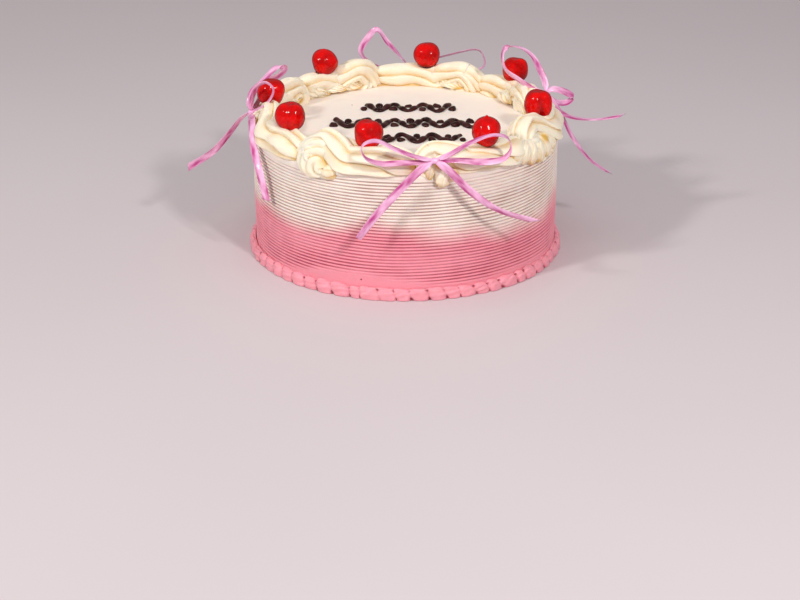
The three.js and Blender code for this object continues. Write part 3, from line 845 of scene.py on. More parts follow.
def through(points, count):
    """A curve through rows of numbers, of which the first three are a place, taken at even steps along
    its length. Between rows b and c it is a cubic that leaves b along (c - a) / 2 and reaches c along
    (d - b) / 2, where a and d are the rows before and after."""
    padded = np.vstack([2 * points[0] - points[1], points, 2 * points[-1] - points[-2]])
    spot = np.linspace(0, len(points) - 1, SAMPLES_PER_PLACE * len(points))
    k = np.minimum(spot.astype(int), len(points) - 2)
    t = (spot - k)[:, None]
    a, b, c, d = (padded[k + j] for j in range(4))
    curve = b + 0.5 * t * (c - a + t * (2 * a - 5 * b + 4 * c - d + t * (3 * (b - c) + d - a)))
    length = lengths_along(curve[:, :3])
    even = np.linspace(0, length[-1], count)
    return np.stack([np.interp(even, length, column) for column in curve.T], 1), length[-1]


def rope_course(scroll, to_next):
    """Rows of out, along, up, half width, half height, lean and sag: a start that leans inwards as
    it rises, a half circle in the leaning plane, and a tail that swells, runs out and narrows."""
    size, high = scroll.size, scroll.high
    wide = START_HALF_WIDTH * scroll.start
    left = -size * CURL_RADIUS
    middle_out, middle_up = CURL_MIDDLE[0], CURL_MIDDLE[1] * high
    rise = np.array([
        [out, mix(scroll.offset, left, way), up - low * scroll.hang, width * wide, height,
         math.radians(lean), 0] for out, way, up, low, width, height, lean in START_ROWS])
    angle = np.linspace(CURL_START, np.pi, CURL_STEPS)[:-1]
    share = np.linspace(0, 1, CURL_STEPS)[:-1]
    lower = CURL_RADIUS * np.cos(angle)
    curl = np.stack([
        middle_out + size * lower * math.cos(CURL_LEAN), left * np.sin(angle),
        middle_up - high * lower * math.sin(CURL_LEAN), mix(wide, CURL_HALF_WIDTH * size, share),
        CURL_HALF_HEIGHT * size * mix(CURL_FIRST_HEIGHT, 1, share), CURL_LEAN + 0 * share,
        CURL_SAG * share], 1)
    share = np.linspace(0, 1, TAIL_STEPS)
    whole = smooth(share / TAIL_SWELL_END)
    fade = mix(1, TAIL_TIP, smooth((share - TAIL_FADE_START) / (1 - TAIL_FADE_START)))
    first_out = middle_out - size * CURL_RADIUS * math.cos(CURL_LEAN)
    first_up = middle_up + high * CURL_RADIUS * math.sin(CURL_LEAN)
    tail = np.stack([
        mix(first_out, TAIL_OUT, smooth(share / TAIL_OUT_END)), share * (to_next - TAIL_SHORT),
        mix(first_up, TAIL_CENTRE * high, whole) * fade,
        mix(CURL_HALF_WIDTH * size, TAIL_HALF_WIDTH * scroll.tail, whole) * fade,
        mix(CURL_HALF_HEIGHT * size, TAIL_HALF_HEIGHT * high, whole) * fade,
        mix(CURL_LEAN, TAIL_LEAN, whole), mix(CURL_SAG, 1, whole)], 1)
    return np.concatenate([rise, curl, tail])


print("places in a rope's course:", len(START_ROWS) + CURL_STEPS - 1 + TAIL_STEPS)

# %% [markdown]
# ## Ridges on the rope
# Round its section the rope has ridges with sharp grooves between them, as many as its scroll says
# at the start and seven in the tail. Each ridge leans a little to one side, as folds of cream do,
# and its height varies along the rope. A frame is carried along the curve, and the ridges keep
# their place when the frame turns, so they never spiral without reason.

# %% Ridges and the carried frame
RIDGE_LEAN = 1.7
RIDGE_WANDER = 0.16  # in ridges
FINE_LINES = 3
FINE_DEPTH = 0.07  # of the finer lines, as a share of a ridge
FINE_CROWD = 1.3  # above 1, they lie closer together on a ridge's steep side
FINE_UNEVEN = 0.8  # how much their depth changes
SHADE_CURVE = 1.6


def crest_of(place_in_ridge, fineness):
    """1 on a crest and 0 in a groove: sin(pi x^lean)^0.5 of the place x in the ridge, less a few finer
    lines drawn along it."""
    within = place_in_ridge % 1
    lines = 0.5 - 0.5 * np.cos(2 * np.pi * FINE_LINES * within**FINE_CROWD)
    return np.sin(np.pi * within**RIDGE_LEAN) ** 0.5 * (1 - FINE_DEPTH * fineness * lines)


def groove_shade_share(crest):
    """How much painted shade, the groove's colour, a point takes: (1 - crest)^1.6, and none where fine
    lines lift a crest over 1."""
    return np.maximum(1 - crest, 0) ** SHADE_CURVE


def ridges(angle, count, seed, share):
    """Crests and grooves that lie evenly round the section, but for a slow wander along the rope."""
    place_in_ridge = angle * count / (2 * np.pi) + RIDGE_WANDER * ripples(seed, share, angle, 3, 2)
    return crest_of(place_in_ridge, 1 + FINE_UNEVEN * ripples(seed + 5, share, angle, 7, 5))


def frame_along(path, lean):
    """The directions ahead, upwards as far as the lean and the path allow, and to the side, and the
    angle by which the last two have rolled about the first since the start."""
    ahead = heading(path)
    wish = np.stack([np.sin(lean), 0 * lean, np.cos(lean)], 1)
    upper = unit(wish - (wish * ahead).sum(1, keepdims=True) * ahead)
    side = np.cross(upper, ahead)
    return ahead, upper, side, np.cumsum((np.gradient(upper, axis=0) * side).sum(1))


def carry(middle, *moves):
    """Rows of points: each row's middle, plus each direction times an amount for each point."""
    points = np.atleast_2d(middle)[:, None]
    for direction, amount in moves:
        points = points + np.atleast_2d(direction)[:, None] * amount[..., None]
    return points


print("crest at 0, a half and two thirds of a ridge:", crest_of(np.array([0, 1 / 2, 2 / 3]), 0).round(2))

# %% [markdown]
# ## Cream that gives way
# Soft cream sags where it lies over the edge, spreads flat on the cake and makes room for a cherry
# that is pressed into it. A soft body simulation could do this, but here a formula is enough. Points
# are wrapped round the cake and sink the more, the further out they lie. Then those that would lie
# in the cake or in a cherry are pushed out to its surface, which flattens the underside and presses
# a seat for each cherry.

# %% Wrapping and pressing
SAG_SLOPE = 0.1
SAG_FROM = 97.0
SAG_SPAN = 10.0
SAG = 0.75
UNDER_TOP = 0.6  # how deep pressed cream lies under the icing's top and side
UNDER_SIDE = 1.6
SEAT = 0.25  # how far a cherry sinks into the cream round it


def wrap(points, scroll, sag):
    """Places given outwards, along and up from the scroll's own spot on the edge become places on the
    cake. What lies far out sinks, by a straight slope and then by a square."""
    radius = SCROLL_RING + scroll.shift + points[..., 0]
    past = np.maximum(0, (radius - SAG_FROM) / SAG_SPAN)
    fall = sag * (SAG_SLOPE * (radius - SCROLL_RING) + SAG * past**2)
    bearing = math.radians(scroll.angle) + points[..., 1] / SCROLL_RING
    return turned(radius, bearing, CAKE_HEIGHT + points[..., 2] - fall)


def out_of_cake(points):
    """Points inside the iced cake move to just under its top or its side, whichever is nearer."""
    radius = np.hypot(points[..., 0], points[..., 1])
    below = CAKE_HEIGHT - points[..., 2]
    inside = CAKE_RADIUS - radius
    within = (below > UNDER_TOP) & (inside > UNDER_SIDE)
    lifted = np.where(within & (below <= inside), CAKE_HEIGHT - UNDER_TOP, points[..., 2])
    pushed = within & (below > inside)
    grown = np.where(pushed, (CAKE_RADIUS - UNDER_SIDE) / np.maximum(radius, 1), 1)
    return np.concatenate([points[..., :2] * grown[..., None], lifted[..., None]], -1)


def out_of_cherries(points):
    """Points inside a cherry move to its surface, straight away from its middle."""
    for cherry in CHERRIES:
        away = points - cherry_middle(cherry)
        distance = np.linalg.norm(away, axis=-1, keepdims=True)
        radius = CHERRY_RADIUS * cherry.size - SEAT
        surface = cherry_middle(cherry) + away / np.maximum(distance, 0.1) * radius
        points = np.where(distance < radius, surface, points)
    return points


print("a point in the middle of the cake is lifted to", out_of_cake(np.zeros((1, 3)))[0, 2])

# %% [markdown]
# ## The rope's surface
# Now the outline is carried along its course. Deep grooves, the hollow inside the curl, the tail's
# end under the next scroll and the foot of the cream look yellower in the photo, because light
# bounces about in them and shade falls there. This bounce light and shade are painted: baked shadows
# would do that for one light only, so each point gets an amount of painted shade from its own place
# instead, and the material turns it into a darker, yellower colour.

# %% Ropes of cream
TAIL_RIDGES = 7
START_RIDGE_DEPTH = 0.24
TAIL_RIDGE_DEPTH = 0.31
BROADENED = (0.12, 0.3)  # shares of the rope between which the ridges broaden
RIDGE_TWIST = 1.2  # how far the ridges roll outwards from start to end, in radians
RIDGE_UNEVEN = 0.3  # how much the ridges' depth changes
CREAM_SWELL = 0.03  # and the size of the whole
OVERHANG = 0.12
ROUND_START = 4.0  # length over which the rope opens
ROUND_END = 5.0  # and closes
OPEN_START = 0.15  # how far it is open in its very first row
OPEN_END = 0.05  # and in its last
FRILL = 2.4  # how far the ridges stick out at the frilled start
FRILL_LENGTH = 3.0
FRILL_UNEVEN = 0.5
GROOVE_SHADE = 0.85  # how much painted shade, the deep colour, a groove takes
SHALLOW_SHADE = 0.35  # of that, in a lobe with hardly any ridges
TAIL_END_SHADE = 0.8  # and painted shade at the tail's end, tucked under the next scroll
TAIL_END_REACH = 10.0
TAIL_END_TOP = 1.4  # under 2, it takes less of that on top
CONTACT_SHADE = 0.45  # and painted shade at the foot of the cream, where it meets the top
CONTACT_REACH = 2.5
CONTACT_EDGE = 4.0  # distance from the cake's edge by which that is full
HOLLOW_REACH = 5.0  # of the painted shade in the hollow inside the curl
HOLLOW_END = 1.2  # where it ends, as a share of that


def rope_shell(scroll, rows, count, columns, depth_share, seed):
    """The ridged outline carried along a course, frayed at its start, sagging over the edge, and
    wrapped round the cake."""
    course, length = through(rows, count)
    spot, (width, height, lean, sag) = course[:, :3], course[:, 3:].T
    ahead, upper, side, roll = frame_along(spot, lean)
    share = np.linspace(0, 1, count)[:, None]
    turn = angles_round(columns)[None, :]
    place_on_ring = turn - roll[:, None] - RIDGE_TWIST * smooth(share)
    broad = smooth((share - BROADENED[0]) / (BROADENED[1] - BROADENED[0]))
    fine_crest = ridges(place_on_ring, scroll.ridges, seed, share)
    crest = mix(fine_crest, ridges(place_on_ring, TAIL_RIDGES, seed + 6, share), broad)
    deep = depth_share * mix(START_RIDGE_DEPTH, TAIL_RIDGE_DEPTH, broad)
    deep = deep * (1 + RIDGE_UNEVEN * ripples(seed + 1, share, turn, 4, 3))
    swell = 1 + CREAM_SWELL * ripples(seed + 2, share, turn, 5, 3)
    from_start, from_end = share * length, (1 - share) * length
    opening = round_end(from_start / ROUND_START + OPEN_START)
    closing = round_end(from_end / ROUND_END + OPEN_END)
    size = (1 - deep * (1 - crest)) * swell * (opening * closing)
    bent = turn + OVERHANG * crest**2
    in_tail = np.clip((sag - CURL_SAG) / (1 - CURL_SAG), 0, 1)[:, None]
    under = mix(1, mix(TAIL_UNDER, TAIL_UNDER_INSIDE, smooth(0.5 + np.cos(bent))), in_tail)
    rise = np.sin(bent) * np.where(np.sin(bent) < 0, under, 1)
    fringe = FRILL * crest**2 * (1 + FRILL_UNEVEN * ripples(seed + 3, 0, turn, 0, 9))
    fringe = fringe * np.exp(-from_start / FRILL_LENGTH)
    points = carry(spot, (side * width[:, None], size * np.cos(bent)),
                   (upper * height[:, None], size * rise), (ahead, -fringe))
    wrapped = wrap(points, scroll, sag[:, None])
    # Painted shade, turned into colour by the material: the curl's hollow, the tail's end under the next
    # scroll, the foot where the cream meets the top, and the grooves.
    in_plane = (points[..., 2] - CURL_MIDDLE[1]) * math.sin(CURL_LEAN)
    in_plane = in_plane - (points[..., 0] - CURL_MIDDLE[0]) * math.cos(CURL_LEAN)
    hollow = smooth(HOLLOW_END - np.hypot(in_plane, points[..., 1]) / HOLLOW_REACH)
    tucked = TAIL_END_SHADE * smooth(1 - from_end / TAIL_END_REACH) * smooth(TAIL_END_TOP - size * rise)
    inside = smooth((CAKE_RADIUS - np.hypot(wrapped[..., 0], wrapped[..., 1])) / CONTACT_EDGE)
    contact_shade = CONTACT_SHADE * inside * smooth(1 - (wrapped[..., 2] - CAKE_HEIGHT) / CONTACT_REACH)
    tone = GROOVE_SHADE * mix(SHALLOW_SHADE, 1, depth_share)
    groove = np.clip(groove_shade_share(crest) * tone + hollow + tucked + contact_shade, 0, 1)
    return tube(out_of_cherries(out_of_cake(wrapped)), groove)


print("ridges at the starts:", [scroll.ridges for scroll in SCROLLS], "and in the tails:", TAIL_RIDGES)

# %% [markdown]
# ## Lobes, folds and strokes
# Below each curl the cream folds over the edge. At the front right the curl ends in a ruffled fan,
# and under the front bow hang two drops. Inside, short tapering strokes lie like shingles along the
# foot of the tails. All of these are small ropes too, so they are further courses, and only their
# rows of places differ.

# %% Small ropes
LOBE_STEPS = 60
LOBE_COLUMNS = 64
LOBE_DEPTH = 0.22  # of its ridges, as a share of the rope's
LOBE_REACH = 11.0  # along the edge, below a curl of size 1
LOBE_LOW = 0.45  # how low it lies, as a share of its scroll's hang
PETAL_STEPS = 36
PETAL_COLUMNS = 40
PETAL_OUT = -7.6
# The least and the most of what is drawn for each stroke
PETAL_ASTRAY = (-1.4, 1.6)
PETAL_UP = (0.8, 5.5)
PETAL_REACH = (7, 15)
PETAL_INWARDS = (0.0, 0.4)
PETAL_WIDTH = (3.0, 6.5)
PETAL_THICK = (1.2, 2.6)
PETAL_LEAN = (-60, -25)
PETAL_STEP = (5, 14)
# From where to where along each tail such strokes lie
PETAL_PLACES = {"right": (16, 34), "back_right": (10, 30), "back": (11, 46), "back_left": (16, 30)}
FOLD_APEX = -9.5  # along the edge, where the folds of the fan come together


def fold(along, hang):
    """Rows of one fold of the fan, which leaves the curl and hangs over the edge: out, along, up, half
    width, half height, lean and sag, as in a rope's course."""
    return [[3.5, mix(FOLD_APEX, along, 0.25), 7, 3.2, 3.0, 1.5, 0],
            [9.5, mix(FOLD_APEX, along, 0.7), 5, 4.7, 3.6, 1.5, 0],
            [12.8, along, -0.5, 4.9, 3.3, 1.5, 0],
            [12.6, along, -hang, 3.6, 2.2, 1.5, 0]]


# Rows as in a rope's course, for each piece of cream that hangs over the edge. A lean of 1.5 turns
# its upper side outwards
HANGING_LOBES = {
    "front_right": [fold(-31, 1), fold(-23, 4), fold(-15, 7), fold(-7, 8), fold(1, 7), fold(9, 5.5)],
    "front": [
        [[9, 1.5, 5, 4.4, 3.0, 1.5, 0], [12.6, 1.5, 1, 4.6, 3.2, 1.5, 0],
         [13.8, 1.6, -4, 4.6, 3.2, 1.5, 0], [13.2, 1.8, -9, 4.0, 2.8, 1.5, 0]],
        [[9, -5.4, 5, 2.5, 2.2, 1.5, 0], [12.2, -5.6, 1.5, 2.7, 2.4, 1.5, 0],
         [13.0, -5.8, -3.6, 2.5, 2.2, 1.5, 0]],
    ],
}


def lobe_course(scroll):
    """A short fold of cream that lies on the edge below the curl's hollow."""
    first, last = scroll.offset + 0.5 * START_HALF_WIDTH * scroll.start, LOBE_REACH * scroll.size
    low = -LOBE_LOW * scroll.hang
    upright = math.radians(70)
    return np.array([
        [7.5, first, low + 1, 3.6, 3.4, upright, 0],
        [10.2, mix(first, last, 0.35), low - 0.6, 5.2, 4.2, upright, 0],
        [10.4, mix(first, last, 0.7), low, 5.4, 4.2, upright, 0],
        [8.0, last, low + 1.5, 4.2, 3.4, upright, 0],
    ])


def petal_courses(scroll, seed):
    """Short tapering strokes along the inner foot of a tail, with drawn sizes and steps."""
    draw = np.random.default_rng(seed)
    along, last = PETAL_PLACES.get(scroll.name, (0, 0))
    courses = []
    while along < last:
        out = PETAL_OUT + draw.uniform(*PETAL_ASTRAY)
        up = draw.uniform(*PETAL_UP)
        reach = draw.uniform(*PETAL_REACH)
        inwards = draw.uniform(*PETAL_INWARDS)
        width, thick = draw.uniform(*PETAL_WIDTH), draw.uniform(*PETAL_THICK)
        lean = math.radians(draw.uniform(*PETAL_LEAN))
        courses.append(np.array([
            [out + 4, along + 4, up + 2.0, width, thick, lean, 0],
            [out + 1.6, along, up + 1.6, 1.1 * width, thick, lean, 0],
            [out + 0.4 - 0.5 * inwards * reach, along - 0.5 * reach, up + 0.5, 0.8 * width, thick, lean, 0],
            [out - inwards * reach, along - reach, up - 1.2, 0.3 * width, 0.5 * thick, lean, 0],
        ]))
        along = along + draw.uniform(*PETAL_STEP)
    return courses


print("folds and drops over the edge:", {name: len(lobes) for name, lobes in HANGING_LOBES.items()})

# %% [markdown]
# ## Rosettes
# Seen from outside, the cream in the middle of most curls is a rosette, whose grooves wind in to a
# small core. That is a flattened ball with grooves along a spiral. On a spiral the distance from the
# middle grows evenly with the bearing, so the place in a ridge is the distance over the pitch plus
# the bearing over a full turn, times the number of arms. At the front left the spiral's middle lies
# low to the right, so that its arms show as nested arcs. The scrolls at the right and the back have
# a second rosette on the side that faces the middle of the cake.

# %% Rosettes
ROSETTE_ROWS = 150
ROSETTE_COLUMNS = 160
ROSETTE_BACK = 0.995  # where its first row lies, as a share of the half turn from the front
ROSETTE_FRONT = 0.005  # and its last
ROSETTE_THICK = 0.46  # half the thickness, as a share of the radius
ROSETTE_RELIEF = 0.24
CORE_DIP = 2.6  # depth of the hollow beside the core
CORE_SPREAD = 3.2
# Painted shade in the hollow beside the core: how much, and how far it spreads.
CORE_SHADE = 0.8
CORE_SHADE_SPREAD = 1.3  # as a share of the hollow's spread
SPIRAL_WANDER = 0.14  # in ridges
BARE_FADE = 3.0  # distance over which ridges begin outside a bare core
# Its scroll, its radius, its place outwards, along and up, the bearing it faces, counted from
# outwards, how far it faces up, the pitch of its ridges and the arms of its spiral
Rosette = namedtuple("Rosette", "scroll radius out along up bearing faces_up pitch arms")
ROSETTES = [
    Rosette("front_left", 14.8, 6.6, -4.2, 5.2, 0, 27, 4.0, -3),
    Rosette("front", 13.0, 4.5, -1.0, 3.6, 0, 27, 5.6, 1),
    Rosette("right", 14.2, 5.0, -1.0, 5.2, 0, 27, 4.8, 2),
    Rosette("right", 13.5, -1.5, -3.0, 4.0, -150, 20, 4.4, 1),
    Rosette("back_right", 14.6, 5.0, -1.0, 5.2, 0, 27, 4.8, 2),
    Rosette("back_right", 13.0, -2.0, -2.0, 3.0, -160, 20, 4.0, 1),
    Rosette("back", 15.4, 5.0, -1.0, 5.8, 0, 27, 5.0, 2),
    Rosette("back", 15.6, -1.5, 0.0, 5.4, 165, 14, 4.0, 1),
    Rosette("back_left", 14.4, 5.0, -1.0, 5.2, 0, 27, 4.8, 2),
    Rosette("back_left", 15.0, -0.5, -1.0, 4.6, 145, 16, 4.4, 1),
]
# A spiral's radius without ridges, its middle across and upwards, how much heights count in it, and
# the place of the hollow beside the core, across and upwards, as shares of the radius
PLAIN_SPIRAL = (0, 0, 0, 1, 0.28, -0.05)
SPIRALS = {"front_left": (1.0, 5.0, -4.0, 0.9, 0.7, -0.2)}


def rosette_shell(scroll, rosette, seed):
    """A flattened ball in rows from its back to its front. Grooves shrink it about its middle, and
    to the right of the core the front dips in a round hollow."""
    core, aside, above, tall, hollow_aside, hollow_above = SPIRALS.get(scroll.name, PLAIN_SPIRAL)
    yaw, tilt = math.radians(rosette.bearing), math.radians(rosette.faces_up)
    right = np.array([-math.sin(yaw), math.cos(yaw), 0])
    level = np.array([math.cos(yaw), math.sin(yaw), 0])
    facing = level * math.cos(tilt) + np.array([0, 0, math.sin(tilt)])
    over = np.cross(facing, right)
    polar = np.linspace(np.pi * ROSETTE_BACK, np.pi * ROSETTE_FRONT, ROSETTE_ROWS)[:, None]
    angle = angles_round(ROSETTE_COLUMNS)[None, :]
    share = polar / np.pi
    reach = rosette.radius * polar / (np.pi / 2)
    from_middle = reach * np.cos(angle) - aside, tall * (reach * np.sin(angle) - above)
    spiral_reach, spiral_angle = np.hypot(*from_middle), np.arctan2(*from_middle[::-1])
    bare = smooth((spiral_reach - core) / BARE_FADE)
    place_in_ridge = spiral_reach / rosette.pitch + rosette.arms * spiral_angle / (2 * np.pi)
    place_in_ridge = place_in_ridge + SPIRAL_WANDER * ripples(seed, share, angle, 2, 2)
    crest = crest_of(place_in_ridge, 1 + FINE_UNEVEN * ripples(seed + 1, share, angle, 5, 5))
    relief = ROSETTE_RELIEF * (1 + RIDGE_UNEVEN * ripples(seed + 2, share, angle, 3, 3)) * bare
    swell = 1 + CREAM_SWELL * ripples(seed + 3, share, angle, 1, 3)
    size = rosette.radius * (1 - relief * (1 - crest)) * swell
    flat = size * np.sin(polar)
    across, upwards = flat * np.cos(angle), flat * np.sin(angle)
    from_core = np.hypot(across - hollow_aside * rosette.radius, upwards - hollow_above * rosette.radius)
    dip = CORE_DIP * np.exp(-((from_core / CORE_SPREAD) ** 2)) * (np.cos(polar) > 0)
    thick = ROSETTE_THICK * size * np.cos(polar) - dip
    middle = (rosette.out, rosette.along, rosette.up)
    points = carry(middle, (right, across), (over, upwards), (facing, thick))
    # Painted shade: in the hollow beside the core, and in the grooves.
    hollow = CORE_SHADE * np.exp(-((from_core / (CORE_SHADE_SPREAD * CORE_SPREAD)) ** 2))
    groove = np.clip(groove_shade_share(crest) * GROOVE_SHADE * bare + hollow, 0, 1)
    return tube(out_of_cherries(wrap(points, scroll, CURL_SAG)), groove)


print("rosettes:", len(ROSETTES))

# %% [markdown]
# ## All the scrolls
# Each scroll is one piece: its rope, the lobe below the curl, what hangs over the edge, its rosettes
# and its strokes. A rope's length follows from the way to the next scroll. They could be joined with
# a remesh, but where cream overlaps cream the seam is as sharp as here.

# %% Scrolls
ROPE_STEPS = 230
ROPE_COLUMNS = 120

for i, scroll in enumerate(SCROLLS):
    next_angle = SCROLLS[(i + 1) % len(SCROLLS)].angle
    to_next = math.radians((next_angle - scroll.angle) % 360) * SCROLL_RING
    course = rope_course(scroll, to_next)
    shells = [rope_shell(scroll, course, ROPE_STEPS, ROPE_COLUMNS, 1, 70 + 10 * i)]
    lobes = [(75 + 10 * i, lobe_course(scroll))]
    lobes += [(360 + k, np.array(rows, float)) for k, rows in enumerate(HANGING_LOBES.get(scroll.name, []))]
    shells += [rope_shell(scroll, rows, LOBE_STEPS, LOBE_COLUMNS, LOBE_DEPTH, seed) for seed, rows in lobes]
    own = [rosette for rosette in ROSETTES if rosette.scroll == scroll.name]
    shells += [rosette_shell(scroll, rosette, 160 + 10 * i + k) for k, rosette in enumerate(own)]
    shells += [rope_shell(scroll, petal, PETAL_STEPS, PETAL_COLUMNS, 1, 260 + 20 * i + k)
               for k, petal in enumerate(petal_courses(scroll, 250 + i))]
    make_piece(f"piped_scroll_{scroll.name}", shells, piped_ivory, f"scroll_{scroll.name}")

# %% [markdown]
# ## The satin bows
# Each bow is tied from a narrow ribbon: two loops, two loose ends and a knot. Where the ribbon goes
# is a list of places counted from the knot, along the edge, outwards and up, and a smooth curve goes
# through them. A cloth simulation would tie a bow too, but never the one in the photo.

# %% Where the ribbons go
# A stretch of ribbon is the direction near which its width lies, and rows of places from the knot:
# along the edge, counterclockwise, outwards and up, and how far the width is turned there, in
# degrees. A loose end also says how slanted its cut is
BOWS = [
    {
        "name": "front", "angle": 279.9, "radius": 110.5, "height": 98.3,
        "loops": [
            ((0, 1, -0.3), [(-12.5, 0, 3.5, 0), (-25.5, -1, 9, -5), (-37.5, -2, 15, 5), (-46.5, -3, 12, 15),
                            (-45, -2.5, 4, 0), (-35, -2, -0.5, 5), (-21.5, -1, -0.5, 5), (-10, 0, -0.5, 0)]),
            ((0, 1, -0.3), [(10.5, 0, 4, 0), (23.5, -1, 10.5, -5), (37, -2, 14.5, -15), (48, -3, 12.5, -5),
                            (51.5, -3, 5, 5), (46, -2, -2, -5), (32, -1, -3, -20), (14.5, 0, -0.5, -5)]),
        ],
        "ends": [
            ((1, 0.2, 0), 0, [(-9.5, 3.5, -4, 0), (-25.5, 3, -20, 0), (-38.5, 2, -34.5, 0),
                              (-50.5, 2, -50, -35)]),
            ((1, 0.2, 0.6), 1.4, [(8, 4, -5, 0), (22.5, 6, -20, 0), (41, 8, -33.5, 25), (64.5, 10, -42, 25)]),
        ],
    },
    {
        "name": "left", "angle": 177.6, "radius": 108.5, "height": 94.4,
        "loops": [
            ((0, 1, 0.3), [(1, 0.5, 7.5, 0), (-4, -1.5, 14, -10), (-10, -6.5, 18.5, -30),
                           (-17, -12, 23.5, -35), (-22, -17.5, 27, -30), (-25, -22, 24, -50),
                           (-22, -17.5, 20, -55), (-18, -10.5, 16.5, -55), (-8, -3.5, 4, -60)]),
            ((0.92, 0.14, 0.4), [(4, -1, 9, -10), (11, -5, 21, -10), (14, -12.5, 26, -15), (16, -18, 22, -25),
                                 (15, -15.5, 14.5, -35), (8, -7.5, 6, -35)]),
        ],
        "ends": [
            ((0.3, 0.5, 1), -0.6, [(0, 7, -4.5, -40), (0, 16, -16, -25), (0, 28.5, -30, -10),
                                   (0, 46.5, -42, 5)]),
            ((0.6, -1, 0.4), 0.5, [(33, -4.5, 2, -5), (48, -7, -9, -20), (61, -12, -21.5, -20),
                                   (66, -17, -41, -20)]),
        ],
    },
    {
        "name": "right", "angle": 13.7, "radius": 103.5, "height": 102.5,
        "loops": [
            ((0.3, 1, 0.4), [(5, -0.5, 8, 10), (9, -3.5, 16, 10), (14, -7, 23.5, 30), (18, -13.5, 28.5, 45),
                             (20, -22.5, 30, 60), (18, -28, 25.5, 85), (13, -27.5, 16, 90),
                             (8, -19, 9, 75), (3, -7.5, 1.5, 65)]),
            ((1, 0.2, 0.9), [(0, 4.5, 2.5, 0), (1, 12.5, 0, 10), (2, 20, -5, 20), (1, 15, -8.5, 10),
                             (0, 6.5, -7, 5)]),
        ],
        "ends": [
            ((1, 0, 0.3), 1.2, [(-12, 4, -8.5, 10), (-21, 12.5, -12.5, -5), (-25, 29.5, -14, -20),
                                (-27, 47.5, -12, -15)]),
            ((1, 0.3, 0.3), 1.2, [(-15, 6, -11.5, 15), (-17, 14, -27.5, 15), (-20, 26, -44, 0),
                                  (-23, 41.5, -56, -15)]),
        ],
    },
    {
        "name": "back", "angle": 87.9, "radius": 109, "height": 95,
        "loops": [
            ((0.2, 1, 0.3), [(8, 2, 9, 0), (17.5, 4, 19, -30), (25, 5, 28.5, -15), (31.5, 6, 23.5, -40),
                             (38, 5, 11, -40), (27, 3, 0.5, -70), (11.5, 1, -1, -70)]),
            ((0, 1, -0.4), [(-12.5, 1, 6, -5), (-31, 2, 11, -5), (-47, 3, 14.5, -5), (-53.5, 4, 11, -5),
                            (-54.5, 4, 1, -15), (-39, 3, -3, -15), (-18.5, 1, -2.5, -15)]),
        ],
        "ends": [
            ((1, 0.2, 0), 0.5, [(11, 4, -12.5, 0), (23.5, 4, -23.5, 0), (41, 4, -44.5, 0)]),
            ((1, 0.2, 0.6), 0.5, [(-11, 5, -10, -30), (-30, 7, -24, -35), (-56.5, 10, -37, -20)]),
        ],
    },
]


def bow_places(bow, places):
    """Turns places given along, outwards and up from the knot into places on the cake."""
    angle = math.radians(bow["angle"])
    outwards = np.array([math.cos(angle), math.sin(angle), 0])
    sideways = np.array([-math.sin(angle), math.cos(angle), 0])
    axes = np.array([sideways, outwards, [0, 0, 1]])
    knot = outwards * bow["radius"] + np.array([0, 0, bow["height"]])
    return knot + np.atleast_2d(np.array(places, float)) @ axes


def stretch_rows(bow, rows, comes_back):
    """Places and turns of a stretch that starts at the knot and, for a loop, comes back to it."""
    rows = np.array(rows, float)
    knot = np.zeros((2, 4))
    knot[:, 3] = rows[[0, -1], 3]
    chain = np.concatenate([knot[:1], rows, knot[1:] if comes_back else knot[:0]])
    return np.column_stack([bow_places(bow, chain[:, :3]), chain[:, 3]])


print("bows:", len(BOWS))

# %% [markdown]
# ## Ribbon and knot
# A ribbon doesn't stretch or bend edgeways, so each stretch is a flat outline carried along its
# curve, with its width near one chosen direction and turned by the angles in its rows. Near the knot
# it is pinched and cups. The knot is a small ball with pleats, wide enough to hide the ends.

# %% Ribbons
RIBBON_WIDTH = 5.2
RIBBON_THICKNESS = 0.4
RIBBON_STEPS = 84
RIBBON_COLUMNS = 24
FLAT_CURVE = 0.6  # under 1, more of the outline's points lie near its edges
THICK_CURVE = 0.4  # under 1, its faces are flatter than an ellipse's
CUT_STEPS = 6  # steps over which a slanted end leans
PINCH = 0.45  # width at the knot, as a share of the ribbon's
PINCH_LENGTH = 7.0
CUP = 0.09  # how far the middle of the ribbon bulges, as a share of its width
KNOT_RADIUS = 2.6
KNOT_SIZES = (1.25, 0.85, 0.8)  # across, outwards and up, as shares of the radius
KNOT_ROWS = 18
KNOT_COLUMNS = 32
KNOT_END = 0.97
KNOT_BAND = 6  # radians round the knot for one width of ribbon in its UV
PLEATS = 6
PLEAT_DEPTH = 0.06


def with_band(shell, across, along, ends):
    """Adds the ribbon's UV to a shell: one for each point of the grid and for both ends' middles."""
    shell["band"] = np.concatenate([np.stack([across, along], -1).reshape(-1, 2), ends])
    return shell


